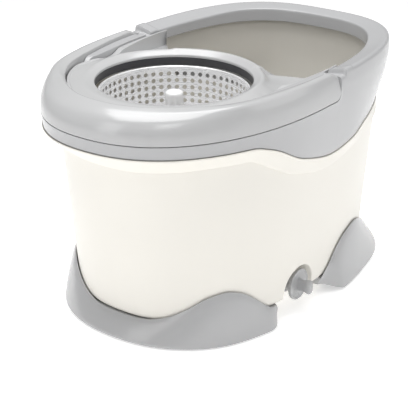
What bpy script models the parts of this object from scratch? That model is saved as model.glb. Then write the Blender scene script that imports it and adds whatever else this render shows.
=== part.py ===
"""Spin-mop bucket: a two-zone tub with a spinning basket, a swing-up carry handle,
a lift-off basket cover, a twist drain cap and two clip-on feet.

Frame: metres, +Z up, origin on the floor under the middle of the bounding box.
+X runs along the length to the pour end, the basket is at the -X end, and the
drain is on the -Y long side.
"""
import math

import bmesh
import bpy
from mathutils import Matrix, Vector

# ---------------------------------------------------------------- overall size
LENGTH = 0.460
WIDTH = 0.290
HEIGHT = 0.270
WAIST_X = -0.014            # where the plan is widest
END_ROUNDNESS = 2.25        # superellipse exponent of the basket end
POUR_ROUNDNESS = 2.90       # and of the blunter pour end
FIT = 0.0004                # gap between pieces that touch
STATION_COUNT = 60          # points round a plan outline
RING_STATIONS = 48          # points round the opening and the basket

# ---------------------------------------------------------------- tub
TUB_WALL = 0.0025
TUB_FLOOR_Z = 0.023         # underside of the floor
FLOOR_THICKNESS = 0.003
TUB_TOP_REFERENCE_Z = 0.210  # height at which the upper insets below are given
TUB_TOP_INSETS = (0.0275, 0.0137, 0.0088)     # basket end, pour end, sides
TUB_BOTTOM_INSETS = (0.0500, 0.0425, 0.0151)
TUB_RIM_UNDER_LEDGE_Z = 0.2325
TUB_RIM_POUR_Z = 0.2590
BEAD_PROUD = 0.0006         # the tub's bead stands this proud of the trim's lower edge
# Lower edge of the band under the trim: (x, z) from the basket end to the pour end.
BAND_EDGE = ((-0.230, 0.2005), (-0.165, 0.2055), (-0.132, 0.2052), (-0.106, 0.1942),
             (-0.060, 0.1748), (0.018, 0.1623), (0.075, 0.1685), (0.130, 0.1780), (0.230, 0.1850))

# ---------------------------------------------------------------- rim trim
TRIM_WALL = 0.0030
# Lower edge of the trim, level round the basket end and dipping along each side.
TRIM_EDGE = ((-0.230, 0.2240), (-0.125, 0.2224), (-0.097, 0.2150), (-0.045, 0.1902),
             (0.018, 0.1770), (0.060, 0.1815), (0.100, 0.1915), (0.230, 0.2035))
TRIM_TUCK = 0.0034          # how far the skirt leans in at its lower edge
TRIM_POUR_TUCK = 0.0118     # and at the pour end
RIM_CROWN_Z = HEIGHT - 0.0010
RIM_INNER_DROP = 0.0062      # the rim's flat top slopes inwards by this much
KNOB_LENGTH = 0.009         # raised hinge knob beside each handle end
RIM_TOP_WIDTH = 0.0235
INNER_WALL_DROP = 0.0190    # the trim's inner wall hangs this far below the crown

# ---------------------------------------------------------------- carry handle
HANDLE_END_X = 0.019
HANDLE_SEAM_Z = 0.238
HANDLE_END_WIDTH = 0.0135
HANDLE_SIDE_WIDTH = 0.019   # along the basket
HANDLE_BOW_WIDTH = 0.029    # at the basket end
HANDLE_WALL = 0.0028
HANDLE_CORNER = 0.008
KNUCKLE_RADIUS = 0.005
PIVOT_X = HANDLE_END_X - KNUCKLE_RADIUS
PIVOT_Z = HEIGHT - 0.007
PIN_RADIUS = 0.0018
PIN_HEAD_RADIUS = 0.0030

# ---------------------------------------------------------------- basket cover
SPIN_X = -0.0826            # axis of the basket
OPENING_RADIUS = 0.0840
COLLAR_RADIUS = 0.1030
COLLAR_DROP = 0.034         # the collar hangs this far on the washing side
COVER_WALL = 0.0026
COVER_LIP_Z = 0.2600        # inner edge of the opening
COVER_CREST_Z = 0.2655      # top of the rounded collar on the washing side
COVER_CREST_LOW_Z = 0.2615  # and at the basket end
DECK_END_Z = 0.2605         # deck at the basket end
DECK_TIP_Z = 0.2440         # and where it runs out on the washing side
DECK_GAP = 0.0014           # seam between cover and handle
DECK_SIDE_INSET = 0.0300
DECK_TIP_INSET = 0.0266
FLANGE_START_X = -0.062
FLANGE_END_X = 0.055
FLANGE_TOP_Z = 0.2618
TIP_ANGLE = math.radians(35)    # the collar stands free within this of +X
LINER_WALL = 0.0020
LINER_HEIGHT = 0.0082

# ---------------------------------------------------------------- basket and drive
BASKET_LIP_RADIUS = 0.0818
BASKET_TOP_Z = 0.2492
BASKET_DEPTH = 0.108
BASKET_WALL = 0.0012
BASKET_TOP_RADIUS = 0.0792
BASKET_FLOOR_RADIUS = 0.0745
LIP_BEAD = 0.0022
DRAIN_HOLE_RADIUS = 0.0026
DRAIN_HOLES_ROUND = 12
POST_RADIUS = 0.0106
POST_TOP_Z = 0.2470
POST_FLANGE_RADIUS = 0.022
POST_FLANGE_THICKNESS = 0.005
POST_FLUTES = 8
HUB_RADIUS = 0.026
HUB_THICKNESS = 0.010
HUB_SCREW_CIRCLE = 0.0165
HUB_SCREW_RADIUS = 0.0016
SCREW_COUNT = 3
AXLE_RADIUS = 0.004
AXLE_SHOULDER_RADIUS = 0.006
BEARING_RADIUS = 0.0085
BEARING_HEIGHT = 0.006
CLIP_RADIUS = 0.0068
CLIP_THICKNESS = 0.001
TOWER_FLANGE_RADIUS = 0.034
TOWER_BASE_RADIUS = 0.022
TOWER_TOP_RADIUS = 0.0135
TOWER_SCREW_CIRCLE = 0.028
BOSS_HEIGHT = 0.010
BOSS_RADIUS = 0.0050
TOWER_SCREW_RADIUS = 0.0018

# ---------------------------------------------------------------- drain
DRAIN_X = -0.0270
DRAIN_Z = 0.0325
NOTCH_X = -0.0290
NOTCH_HALF_WIDTH = 0.0262
NOTCH_TOP_Z = 0.0560
NOTCH_DEPTH = 0.021         # from the tub's outer wall
CAP_DISC_RADIUS = 0.0180
CAP_DISC_THICKNESS = 0.0035
SPOUT_BORE = 0.0038
SPOUT_RADIUS = 0.0054
GRIP_REACH = 0.0155
GRIP_HEIGHT = 0.0165
GRIP_THICKNESS = 0.0085

# ---------------------------------------------------------------- feet
FOOT_CLEAR_Z = 0.0015       # feet stop this far above the floor, on their pads
FOOT_SHELF = 0.013          # the foot reaches this far under the tub
# Upper edge of each foot on the tub wall: a valley at the end and a lobe on each side.
FRONT_EDGE = ((-0.181, 0.0160), (-0.174, 0.0250), (-0.156, 0.0440), (-0.139, 0.0560),
              (-0.127, 0.0582), (-0.112, 0.0535), (-0.096, 0.0420), (-0.078, 0.0238),
              (-0.064, 0.0236))
REAR_EDGE = ((0.014, 0.0232), (0.029, 0.0340), (0.045, 0.0500), (0.064, 0.0610),
             (0.088, 0.0652), (0.117, 0.0560), (0.150, 0.0380), (0.175, 0.0250), (0.188, 0.0225))
PAD_RADIUS = 0.0062

# ---------------------------------------------------------------- wash stud
WASH_X = 0.105
STUD_RADIUS = 0.0045
STUD_FLANGE_RADIUS = 0.016
WASH_CAP_RADIUS = 0.0085

FLOOR_TOP_Z = TUB_FLOOR_Z + FLOOR_THICKNESS
BASKET_FLOOR_Z = BASKET_TOP_Z - BASKET_DEPTH
HUB_TOP_Z = BASKET_FLOOR_Z - FIT
HUB_BOTTOM_Z = HUB_TOP_Z - HUB_THICKNESS
TOWER_BOTTOM_Z = FLOOR_TOP_Z + BOSS_HEIGHT + FIT
TOWER_TOP_Z = HUB_BOTTOM_Z - 0.004
LOWER_SEAT_Z = TOWER_BOTTOM_Z + 0.043   # shoulder above the lower bearing


# ================================================================ scene helpers
def clear_scene():
    for item in list(bpy.data.objects):
        bpy.data.objects.remove(item, do_unlink=True)


def make_collection(name):
    group = bpy.data.collections.new(name)
    bpy.context.scene.collection.children.link(group)
    return group


def material(name, colour, roughness, metallic=0.0):
    """A Principled finish, made once and shared by the pieces moulded in it."""
    if name in bpy.data.materials:
        return bpy.data.materials[name]
    finish = bpy.data.materials.new(name)
    finish.use_nodes = True
    shader = finish.node_tree.nodes["Principled BSDF"]
    shader.inputs["Base Color"].default_value = (*colour, 1.0)
    shader.inputs["Roughness"].default_value = roughness
    shader.inputs["Metallic"].default_value = metallic
    return finish


def cream_plastic():
    return material("cream_plastic", (0.86, 0.83, 0.76), 0.38)


def grey_plastic():
    return material("grey_plastic", (0.50, 0.51, 0.54), 0.36)


def light_plastic():
    return material("light_grey_plastic", (0.58, 0.59, 0.60), 0.34)


def dark_plastic():
    return material("dark_plastic", (0.06, 0.06, 0.065), 0.45)


def white_plastic():
    return material("white_plastic", (0.85, 0.85, 0.84), 0.40)


def steel():
    return material("polished_steel", (0.75, 0.75, 0.76), 0.14, 1.0)


def rubber():
    return material("black_rubber", (0.03, 0.03, 0.03), 0.80)


def add_object(name, mesh, finish, group):
    piece = bpy.data.objects.new(name, mesh)
    group.objects.link(piece)
    if finish is not None:
        mesh.materials.append(finish)
    for face in mesh.polygons:
        face.use_smooth = True
    mesh.set_sharp_from_angle(angle=math.radians(35))
    return piece


def add_cutter(name, mesh):
    cutter = add_object(name, mesh, None, CUTTERS)
    cutter.hide_render = True
    cutter.display_type = "WIRE"
    return cutter


def boolean(piece, other, operation):
    step = piece.modifiers.new(operation.lower() + "_" + other.name, "BOOLEAN")
    step.operation = operation
    step.solver = "EXACT"
    step.object = other


def mesh_from(name, build):
    """Run build(bm) and return the closed mesh with its faces pointing out."""
    bm = bmesh.new()
    build(bm)
    bmesh.ops.recalc_face_normals(bm, faces=bm.faces)
    mesh = bpy.data.meshes.new(name)
    bm.to_mesh(mesh)
    bm.free()
    return mesh


def loft_mesh(name, sections, closed_path):
    """Skin closed sections of equal point counts; an open path gets end caps."""
    def build(bm):
        loops = [[bm.verts.new(point) for point in section] for section in sections]
        pairs = list(zip(loops, loops[1:]))
        if closed_path:
            pairs.append((loops[-1], loops[0]))
        count = len(loops[0])
        for first, second in pairs:
            for i in range(count):
                j = (i + 1) % count
                bm.faces.new((first[i], first[j], second[j], second[i]))
        if not closed_path:
            bm.faces.new(loops[0])
            bm.faces.new(list(reversed(loops[-1])))
        bmesh.ops.triangulate(bm, faces=bm.faces)
    return mesh_from(name, build)


def cylinder_mesh(name, radius, start, end, segments=24, top_radius=None):
    """A cylinder or cone between two points."""
    start, end = Vector(start), Vector(end)
    axis = end - start
    turn = axis.to_track_quat("Z", "Y").to_matrix().to_4x4()
    place = Matrix.Translation((start + end) / 2) @ turn

    def build(bm):
        bmesh.ops.create_cone(
            bm, cap_ends=True, segments=segments, radius1=radius,
            radius2=radius if top_radius is None else top_radius,
            depth=axis.length, matrix=place)
    return mesh_from(name, build)


def turned(name, profile, finish, group, centre=(0, 0), segments=48, closed=True):
    """A turned piece: an (r, z) profile that runs down its outer side, on a Screw modifier."""
    edges = [(i, i + 1) for i in range(len(profile) - 1)]
    if closed:
        edges.append((len(profile) - 1, 0))
    mesh = bpy.data.meshes.new(name)
    mesh.from_pydata([(r, 0, z) for r, z in profile], edges, [])
    piece = bpy.data.objects.new(name, mesh)
    group.objects.link(piece)
    piece.location = (centre[0], centre[1], 0)
    if finish is not None:
        mesh.materials.append(finish)
    screw = piece.modifiers.new("turn", "SCREW")
    screw.steps = segments
    screw.render_steps = segments
    screw.use_merge_vertices = True
    screw.merge_threshold = 0.00005
    screw.use_smooth_shade = True
    return piece


def smooth_step(value, start, end, power=1.0):
    share = min(1.0, max(0.0, (value - start) / (end - start))) ** power
    return share * share * (3 - 2 * share)


# ================================================================ plan outline
def plan_point(t, insets):
    """Point of the plan outline at parameter t; insets are basket end, pour end, sides."""
    end_inset, pour_inset, side_inset = insets
    cosine, sine = math.cos(t), math.sin(t)
    if cosine < 0:
        reach, exponent = LENGTH / 2 + WAIST_X - end_inset, END_ROUNDNESS
    else:
        reach, exponent = LENGTH / 2 - WAIST_X - pour_inset, POUR_ROUNDNESS
    half = WIDTH / 2 - side_inset
    x = WAIST_X + math.copysign(reach * abs(cosine) ** (2 / exponent), cosine)
    y = math.copysign(half * abs(sine) ** (2 / exponent), sine)
    return x, y


def rim_point(t, inset):
    """Point of the inset rim; near the handle's ends a section stays square to X."""
    x, y = plan_point(t, (inset, inset, inset))
    nominal = plan_point(t, (0.0, 0.0, 0.0))[0]
    square = smooth_step(abs(nominal - HANDLE_END_X), 0.085, 0.035)
    if square == 0.0 or inset == 0.0:
        return x, y
    side = min(t, 2 * math.pi - t)
    side += (parameter_at(nominal, inset) - side) * square
    x, y_side = plan_point(side, (inset, inset, inset))
    return x, math.copysign(y_side, y)


def parameter_at(x, inset=0.0):
    """Parameter of the outline's +Y point at a given x."""
    if x < WAIST_X:
        share = (WAIST_X - x) / (LENGTH / 2 + WAIST_X - inset)
        return math.pi - math.acos(share ** (END_ROUNDNESS / 2))
    share = (x - WAIST_X) / (LENGTH / 2 - WAIST_X - inset)
    return math.acos(share ** (POUR_ROUNDNESS / 2))


def blend_insets(z):
    """The tub wall's insets at a height, on its straight taper."""
    share = (z - TUB_FLOOR_Z) / (TUB_TOP_REFERENCE_Z - TUB_FLOOR_Z)
    return tuple(low + (high - low) * share
                 for low, high in zip(TUB_BOTTOM_INSETS, TUB_TOP_INSETS))


def shift_insets(insets, amount):
    return tuple(value + amount for value in insets)


def flow(x, knots):
    """A smooth curve through a few (x, z) knots, level where they turn."""
    if x <= knots[0][0]:
        return knots[0][1]
    if x >= knots[-1][0]:
        return knots[-1][1]
    slopes = [(b[1] - a[1]) / (b[0] - a[0]) for a, b in zip(knots, knots[1:])]
    tangents = [slopes[0]]
    for before, after in zip(slopes, slopes[1:]):
        tangents.append(0.0 if before * after <= 0 else 2 * before * after / (before + after))
    tangents.append(slopes[-1])
    for k, (a, b) in enumerate(zip(knots, knots[1:])):
        if x <= b[0]:
            span = b[0] - a[0]
            u = (x - a[0]) / span
            return (a[1] * (2 * u ** 3 - 3 * u ** 2 + 1) + b[1] * (3 * u ** 2 - 2 * u ** 3)
                    + tangents[k] * span * (u ** 3 - 2 * u ** 2 + u)
                    + tangents[k + 1] * span * (u ** 3 - u ** 2))


def trim_edge_z(x):
    return flow(x, TRIM_EDGE)


def band_edge_z(x):
    return flow(x, BAND_EDGE)


def skirt_inset(x, z):
    """The trim's outer face leans in below the rim, most of all at the pour end."""
    tuck = TRIM_TUCK + (TRIM_POUR_TUCK - TRIM_TUCK) * smooth_step(x, 0.050, 0.210)
    return tuck * (max(0.0, 0.250 - z) / 0.047) ** 1.3


# ================================================================ tub
def tub_rim_z(x):
    ramp = smooth_step(x, HANDLE_END_X + 0.022, HANDLE_END_X + 0.045)
    return TUB_RIM_UNDER_LEDGE_Z + (TUB_RIM_POUR_Z - TUB_RIM_UNDER_LEDGE_Z) * ramp


def tub_ring(insets_at, z_at):
    """One ring of the tub; both arguments are functions of the rim outline's x."""
    ring = []
    for t in trim_parameters():
        nominal = rim_point(t, 0.0)[0]
        z = z_at(nominal)
        insets = insets_at(nominal, z)
        place = rim_point(t, insets[0]) if len(set(insets)) == 1 else plan_point(t, insets)
        ring.append((*place, z))
    return ring


def tub_surface(offset, floor_z):
    """Rings of the tub's inner (offset inwards) surface, from the floor up."""
    def wall(x, z):
        return shift_insets(blend_insets(z), offset)

    def shoulder(x, z):
        inset = shoulder_inset(x) + offset
        return (inset, inset, inset)

    return [
        tub_ring(lambda x, z: shift_insets(wall(x, z), 0.006), lambda x: floor_z),
        tub_ring(lambda x, z: shift_insets(wall(x, z), 0.0012), lambda x: floor_z + 0.0018),
        tub_ring(wall, lambda x: floor_z + 0.006),
        tub_ring(wall, lambda x: 0.100),
        tub_ring(wall, lambda x: band_edge_z(x) - 0.002),
        tub_ring(shoulder, lambda x: trim_edge_z(x) + 0.0015 if offset else trim_edge_z(x) - FIT),
        tub_ring(shoulder, tub_rim_z)]


def shoulder_inset(x):
    """Behind the trim's skirt."""
    return skirt_inset(x, trim_edge_z(x)) + TRIM_WALL + FIT + 0.0002


def tub_outside():
    """The outer surface, with the band and its bead added under the trim."""
    def bead(x, z):
        inset = skirt_inset(x, trim_edge_z(x)) - BEAD_PROUD
        return (inset, inset, inset)

    def ledge(x, z):
        return shift_insets(bead(x, z), BEAD_PROUD + 0.0006)

    rings = tub_surface(0.0, TUB_FLOOR_Z)
    band = [tub_ring(bead, lambda x: trim_edge_z(x) - 0.0022),
            tub_ring(ledge, lambda x: trim_edge_z(x) - FIT - 0.0002)]
    return rings[:5] + band + rings[5:]


def notch_mesh(name, half_width, top_z, near_y, far_y, bottom_z):
    """An arch-topped block across the drain, from near_y (outside) to far_y."""
    centre_z = top_z - half_width
    outline = [(-half_width, bottom_z)]
    steps = 14
    for i in range(steps + 1):
        angle = math.pi - math.pi * i / steps
        outline.append((half_width * math.cos(angle), centre_z + half_width * math.sin(angle)))
    outline.append((half_width, bottom_z))
    sections = [[(NOTCH_X + u, y, v) for u, v in outline] for y in (near_y, far_y)]
    return loft_mesh(name, sections, closed_path=False)


def drain_wall_y():
    """Outer face of the tub wall at the drain's height."""
    insets = blend_insets(DRAIN_Z)
    return plan_point(-parameter_at(DRAIN_X), insets)[1]


def pocket_wall_y():
    return drain_wall_y() + NOTCH_DEPTH


def tower_screw_places():
    angles = [math.radians(90 + 360 / SCREW_COUNT * i) for i in range(SCREW_COUNT)]
    return [(SPIN_X + TOWER_SCREW_CIRCLE * math.cos(a), TOWER_SCREW_CIRCLE * math.sin(a))
            for a in angles]


def make_tub():
    outer = tub_outside()
    inner = tub_surface(TUB_WALL, FLOOR_TOP_Z)
    sections = outer + list(reversed(inner))
    tub = add_object("bucket_tub", loft_mesh("bucket_tub", sections, False),
                     cream_plastic(), PARTS)

    outside = add_cutter("tub_outside", loft_mesh("tub_outside", outer, False))
    pocket = notch_mesh("drain_pocket", NOTCH_HALF_WIDTH + TUB_WALL, NOTCH_TOP_Z + TUB_WALL,
                        drain_wall_y() - 0.004, pocket_wall_y() + TUB_WALL,
                        TUB_FLOOR_Z + 0.0005)
    pocket = add_cutter("drain_pocket", pocket)
    boolean(pocket, outside, "INTERSECT")
    boolean(tub, pocket, "UNION")
    for number, (x, y) in enumerate(tower_screw_places(), 1):
        boss = cylinder_mesh("tower_boss", BOSS_RADIUS, (x, y, FLOOR_TOP_Z - 0.001),
                             (x, y, FLOOR_TOP_Z + BOSS_HEIGHT), 20)
        boolean(tub, add_cutter("tower_boss_%d" % number, boss), "UNION")
        bore = cylinder_mesh("boss_bore", TOWER_SCREW_RADIUS + FIT,
                             (x, y, FLOOR_TOP_Z + 0.0005),
                             (x, y, FLOOR_TOP_Z + BOSS_HEIGHT + 0.002), 12)
        boolean(tub, add_cutter("boss_bore_%d" % number, bore), "DIFFERENCE")
    notch = notch_mesh("drain_notch", NOTCH_HALF_WIDTH, NOTCH_TOP_Z,
                       drain_wall_y() - 0.010, pocket_wall_y(), TUB_FLOOR_Z - 0.010)
    boolean(tub, add_cutter("drain_notch", notch), "DIFFERENCE")
    hole = cylinder_mesh("spout_hole", SPOUT_RADIUS + FIT,
                         (DRAIN_X, pocket_wall_y() - 0.004, DRAIN_Z),
                         (DRAIN_X, pocket_wall_y() + TUB_WALL + 0.004, DRAIN_Z))
    boolean(tub, add_cutter("spout_hole", hole), "DIFFERENCE")


# ================================================================ rim trim and handle
def handle_width(x):
    """Plan width of the handle: slim at its ends, broad round the basket end."""
    side = smooth_step(x, 0.010, -0.090)
    bow = smooth_step(x, -0.120, -0.222)
    return (HANDLE_END_WIDTH + (HANDLE_SIDE_WIDTH - HANDLE_END_WIDTH) * side
            + (HANDLE_BOW_WIDTH - HANDLE_SIDE_WIDTH) * bow)


def deck_inset(x):
    """Inset of the cover's outer edge: along the handle at the basket end, then the trim."""
    along_handle = handle_width(x) + DECK_GAP
    side = DECK_TIP_INSET + (DECK_SIDE_INSET - DECK_TIP_INSET) * smooth_step(x, 0.010, -0.060)
    return side + (along_handle - side) * smooth_step(x, -0.075, -0.125)


def handle_bottom_z(x):
    """Seam under the handle, rounded up to its end."""
    past = x - (HANDLE_END_X - HANDLE_CORNER)
    if past <= 0:
        return HANDLE_SEAM_Z
    past = min(past, HANDLE_CORNER)
    return HANDLE_SEAM_Z + HANDLE_CORNER - math.sqrt(HANDLE_CORNER ** 2 - past ** 2)


def handle_top_z(x):
    """Crown of the handle, which ends in a knuckle round its pivot."""
    past = x - PIVOT_X
    knuckle_top = PIVOT_Z + KNUCKLE_RADIUS
    if past > 0:
        past = min(past, KNUCKLE_RADIUS)
        return PIVOT_Z + math.sqrt(KNUCKLE_RADIUS ** 2 - past ** 2)
    return knuckle_top + (HEIGHT - knuckle_top) * smooth_step(-past, 0.006, 0.016)


def strip_width(x):
    """Width of the trim's inner strip between the handle and the cover."""
    return max(0.0032, deck_inset(x) - handle_width(x) - 3 * FIT)


def strip_z(x):
    """Top of that strip: level with the cover, dropping under it at the basket end."""
    low = COVER_LIP_Z - 0.0105
    return low + (HEIGHT - 0.0062 - low) * smooth_step(x, -0.116, -0.090)


def pour_profile(x, edge):
    """Trim section (inset, z) where there is no handle."""
    knob = smooth_step(x, HANDLE_END_X + KNOB_LENGTH + 0.003, HANDLE_END_X + KNOB_LENGTH)
    crown = RIM_CROWN_Z + (HEIGHT - RIM_CROWN_Z) * knob
    wide = RIM_TOP_WIDTH
    inner = crown - RIM_INNER_DROP * (1 - 0.4 * smooth_step(x, 0.12, 0.20))
    low = RIM_CROWN_Z - INNER_WALL_DROP
    wall = TRIM_WALL
    tuck = skirt_inset(x, edge)
    middle = skirt_inset(x, 0.234)
    return [
        (tuck, edge), (middle, 0.234), (0.0, crown - 0.0100), (0.0010, crown - 0.0045),
        (0.0030, crown - 0.0010), (0.0060, crown), (wide * 0.6, (crown + inner) / 2 + 0.0006),
        (wide - 0.0030, inner + 0.0006), (wide - 0.0008, inner - 0.0006), (wide, inner - 0.0028),
        (wide + 0.0012, low), (wide - 0.0010, low), (wide - 0.0022, inner - 0.0030),
        (wide - 0.0045, inner - 0.0026), (0.0070, crown - wall), (wall + 0.0006, crown - 0.0055),
        (wall, crown - 0.0100), (wall, 0.245), (wall + middle, 0.232), (wall + tuck, edge)]


def recess_profile(x, edge):
    """Trim section under and beside the handle: a ledge and a riser."""
    ledge = handle_bottom_z(x) - FIT
    riser = handle_width(x) + FIT
    inner = riser + strip_width(x)
    top = strip_z(x)
    wall = 0.0018
    low = min(RIM_CROWN_Z - INNER_WALL_DROP, top - 0.006)
    web = min(riser + wall, inner - 0.0008)
    tuck = skirt_inset(x, edge)
    middle = skirt_inset(x, 0.234)
    return [
        (tuck, edge), (middle, 0.230), (0.0, ledge - 0.0006), (0.0006, ledge), (riser * 0.5, ledge),
        (riser, ledge), (riser, top - 0.0030), (riser + 0.0006, top), (inner - 0.0016, top),
        (inner - 0.0002, top - 0.0012), (inner, low), (inner - 0.0010, low),
        (inner - 0.0012, top - 0.0036), (web, top - 0.0036), (web, 0.2475), (web, 0.2440),
        (web, HANDLE_SEAM_Z - FIT - 0.0025), (TRIM_WALL, HANDLE_SEAM_Z - FIT - 0.0025),
        (TRIM_WALL + middle, 0.229), (TRIM_WALL + tuck, edge)]


def handle_end_parameters():
    """Extra stations that round the handle's ends, on the +Y side, from the end back."""
    ends = [HANDLE_END_X - share * HANDLE_CORNER for share in (0.0, 0.04, 0.14, 0.32, 0.6, 1.0)]
    ends.append(PIVOT_X - 0.006)
    ends.append(PIVOT_X - 0.016)
    return [parameter_at(x) for x in ends]


def side_parameters():
    """+Y stations from the pour end to the basket end, with a step at the handle's end."""
    step = [parameter_at(HANDLE_END_X + FIT)]
    knob = [parameter_at(HANDLE_END_X + KNOB_LENGTH + extra) for extra in (0.0, 0.0015, 0.003)]
    fine = handle_end_parameters()
    plain = [math.pi * i / (STATION_COUNT // 2) for i in range(1, STATION_COUNT // 2)]
    special = step + knob + fine
    kept = [t for t in plain if min(abs(t - s) for s in special) > 0.02]
    return sorted(kept + special)


def trim_parameters():
    side = side_parameters()
    return [0.0] + side + [math.pi] + [2 * math.pi - t for t in reversed(side)]


def trim_section(t):
    x_nominal = rim_point(t, 0.0)[0]
    edge = trim_edge_z(x_nominal)
    in_recess = x_nominal < HANDLE_END_X + FIT / 2
    profile = recess_profile(x_nominal, edge) if in_recess else pour_profile(x_nominal, edge)
    return [(*rim_point(t, inset), z) for inset, z in profile]


def pin_y(inset):
    return rim_point(parameter_at(PIVOT_X), inset)[1]


def pin_cutter(name, radius, side):
    mesh = cylinder_mesh(name, radius, (PIVOT_X, side * pin_y(HANDLE_END_WIDTH + 0.0055), PIVOT_Z),
                         (PIVOT_X, side * pin_y(HANDLE_WALL + 0.002), PIVOT_Z), 20)
    return add_cutter(name, mesh)


def make_trim():
    sections = [trim_section(t) for t in trim_parameters()]
    trim = add_object("rim_trim", loft_mesh("rim_trim", sections, True), grey_plastic(), PARTS)
    for number, side in enumerate((-1, 1), 1):
        bore = pin_cutter("trim_pin_bore_%d" % number, PIN_RADIUS + FIT, side)
        boolean(trim, bore, "DIFFERENCE")


def handle_section(t):
    x_nominal = rim_point(t, 0.0)[0]
    low = handle_bottom_z(x_nominal)
    top = handle_top_z(x_nominal)
    wide = handle_width(x_nominal)
    wall = HANDLE_WALL
    slope = smooth_step(x_nominal, -0.130, -0.222)    # the bow's top is a broad slope
    edge = 0.0052 + 0.0035 * slope                    # height of the outer corner's round
    crest = 0.0062 + (wide - 0.0150) * slope
    profile = [
        (0.0, low), (0.0, max(low + 0.0006, top - 2 * edge)),
        (0.0008 + 0.0008 * slope, max(low + 0.001, top - edge * 1.25)),
        (0.0026 + 0.0040 * slope, top - edge * 0.42), (crest, top - 0.0002),
        (wide - 0.0035, top - 0.0008), (wide - 0.0010, top - 0.0014), (wide, top - 0.0032),
        (wide, low), (wide - wall, low), (wide - wall, top - wall - 0.0018),
        (crest, top - wall - 0.0006), (wall + 0.0008 + 0.003 * slope, max(low + 0.0008, top - edge - wall)),
        (wall, low + 0.0005), (wall, low)]
    return [(*rim_point(t, inset), z) for inset, z in profile]


def make_handle():
    fine = handle_end_parameters()
    plain = [math.pi * i / (STATION_COUNT // 2) for i in range(1, STATION_COUNT // 2)]
    kept = [t for t in plain if t > max(fine) + 0.02]
    side = sorted(fine + kept)
    path = side + [math.pi] + [2 * math.pi - t for t in reversed(side)]
    handle = add_object("carry_handle",
                        loft_mesh("carry_handle", [handle_section(t) for t in path], False),
                        light_plastic(), PARTS)
    for number, (label, side) in enumerate((("near", -1), ("far", 1)), 1):
        bore = pin_cutter("handle_pin_bore_%d" % number, PIN_RADIUS + FIT, side)
        boolean(handle, bore, "DIFFERENCE")
        inner = pin_y(handle_width(PIVOT_X) + 0.0050)
        outer = pin_y(HANDLE_WALL + 0.0045)
        shank = cylinder_mesh("handle_pin_" + label, PIN_RADIUS, (PIVOT_X, side * inner, PIVOT_Z),
                              (PIVOT_X, side * outer, PIVOT_Z), 20)
        add_object("handle_pin_" + label, shank, steel(), PARTS)
    parent_on_axis(handle, "handle_axis", (PIVOT_X, 0, PIVOT_Z))


def parent_on_axis(piece, name, place):
    """Hang a moving piece from an empty on its joint's axis."""
    pivot = bpy.data.objects.get(name)
    if pivot is None:
        pivot = bpy.data.objects.new(name, None)
        pivot.empty_display_size = 0.01
        pivot.location = place
        PARTS.objects.link(pivot)
    piece.parent = pivot
    piece.matrix_parent_inverse = Matrix.Translation(-Vector(place))


# ================================================================ basket cover
def circle_point(radius, angle, z):
    return SPIN_X + radius * math.cos(angle), radius * math.sin(angle), z


def cover_outline():
    """The cover's edge from +X round the +Y side to -X: collar, then tip, then deck."""
    collar = [TIP_ANGLE * i / 5 for i in range(6)]
    points = [circle_point(COLLAR_RADIUS, angle, 0)[:2] for angle in collar]
    tip_t = parameter_at(FLANGE_END_X)
    tip = rim_point(tip_t, deck_inset(FLANGE_END_X))
    last = points[-1]
    for share in (0.22, 0.5, 0.8):
        bow = 0.006 * math.sin(math.pi * share)
        points.append((last[0] + (tip[0] - last[0]) * share - bow,
                       last[1] + (tip[1] - last[1]) * share + bow * 0.3))
    steps = 26
    for i in range(steps + 1):
        t = tip_t + (math.pi - tip_t) * i / steps
        points.append(rim_point(t, deck_inset(rim_point(t, 0)[0])))
    return points


def deck_z(x):
    return DECK_END_Z - (DECK_END_Z - DECK_TIP_Z) * smooth_step(x, -0.090, 0.035)


def crest_z(x):
    return COVER_CREST_LOW_Z + (COVER_CREST_Z - COVER_CREST_LOW_Z) * smooth_step(x, -0.150, -0.040)


def flange_width(x):
    """Level top of the flange beside the trim, tapering towards the tip."""
    return 0.0026 + 0.0070 * smooth_step(x, 0.045, -0.045) * smooth_step(x, -0.075, -0.055)


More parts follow.
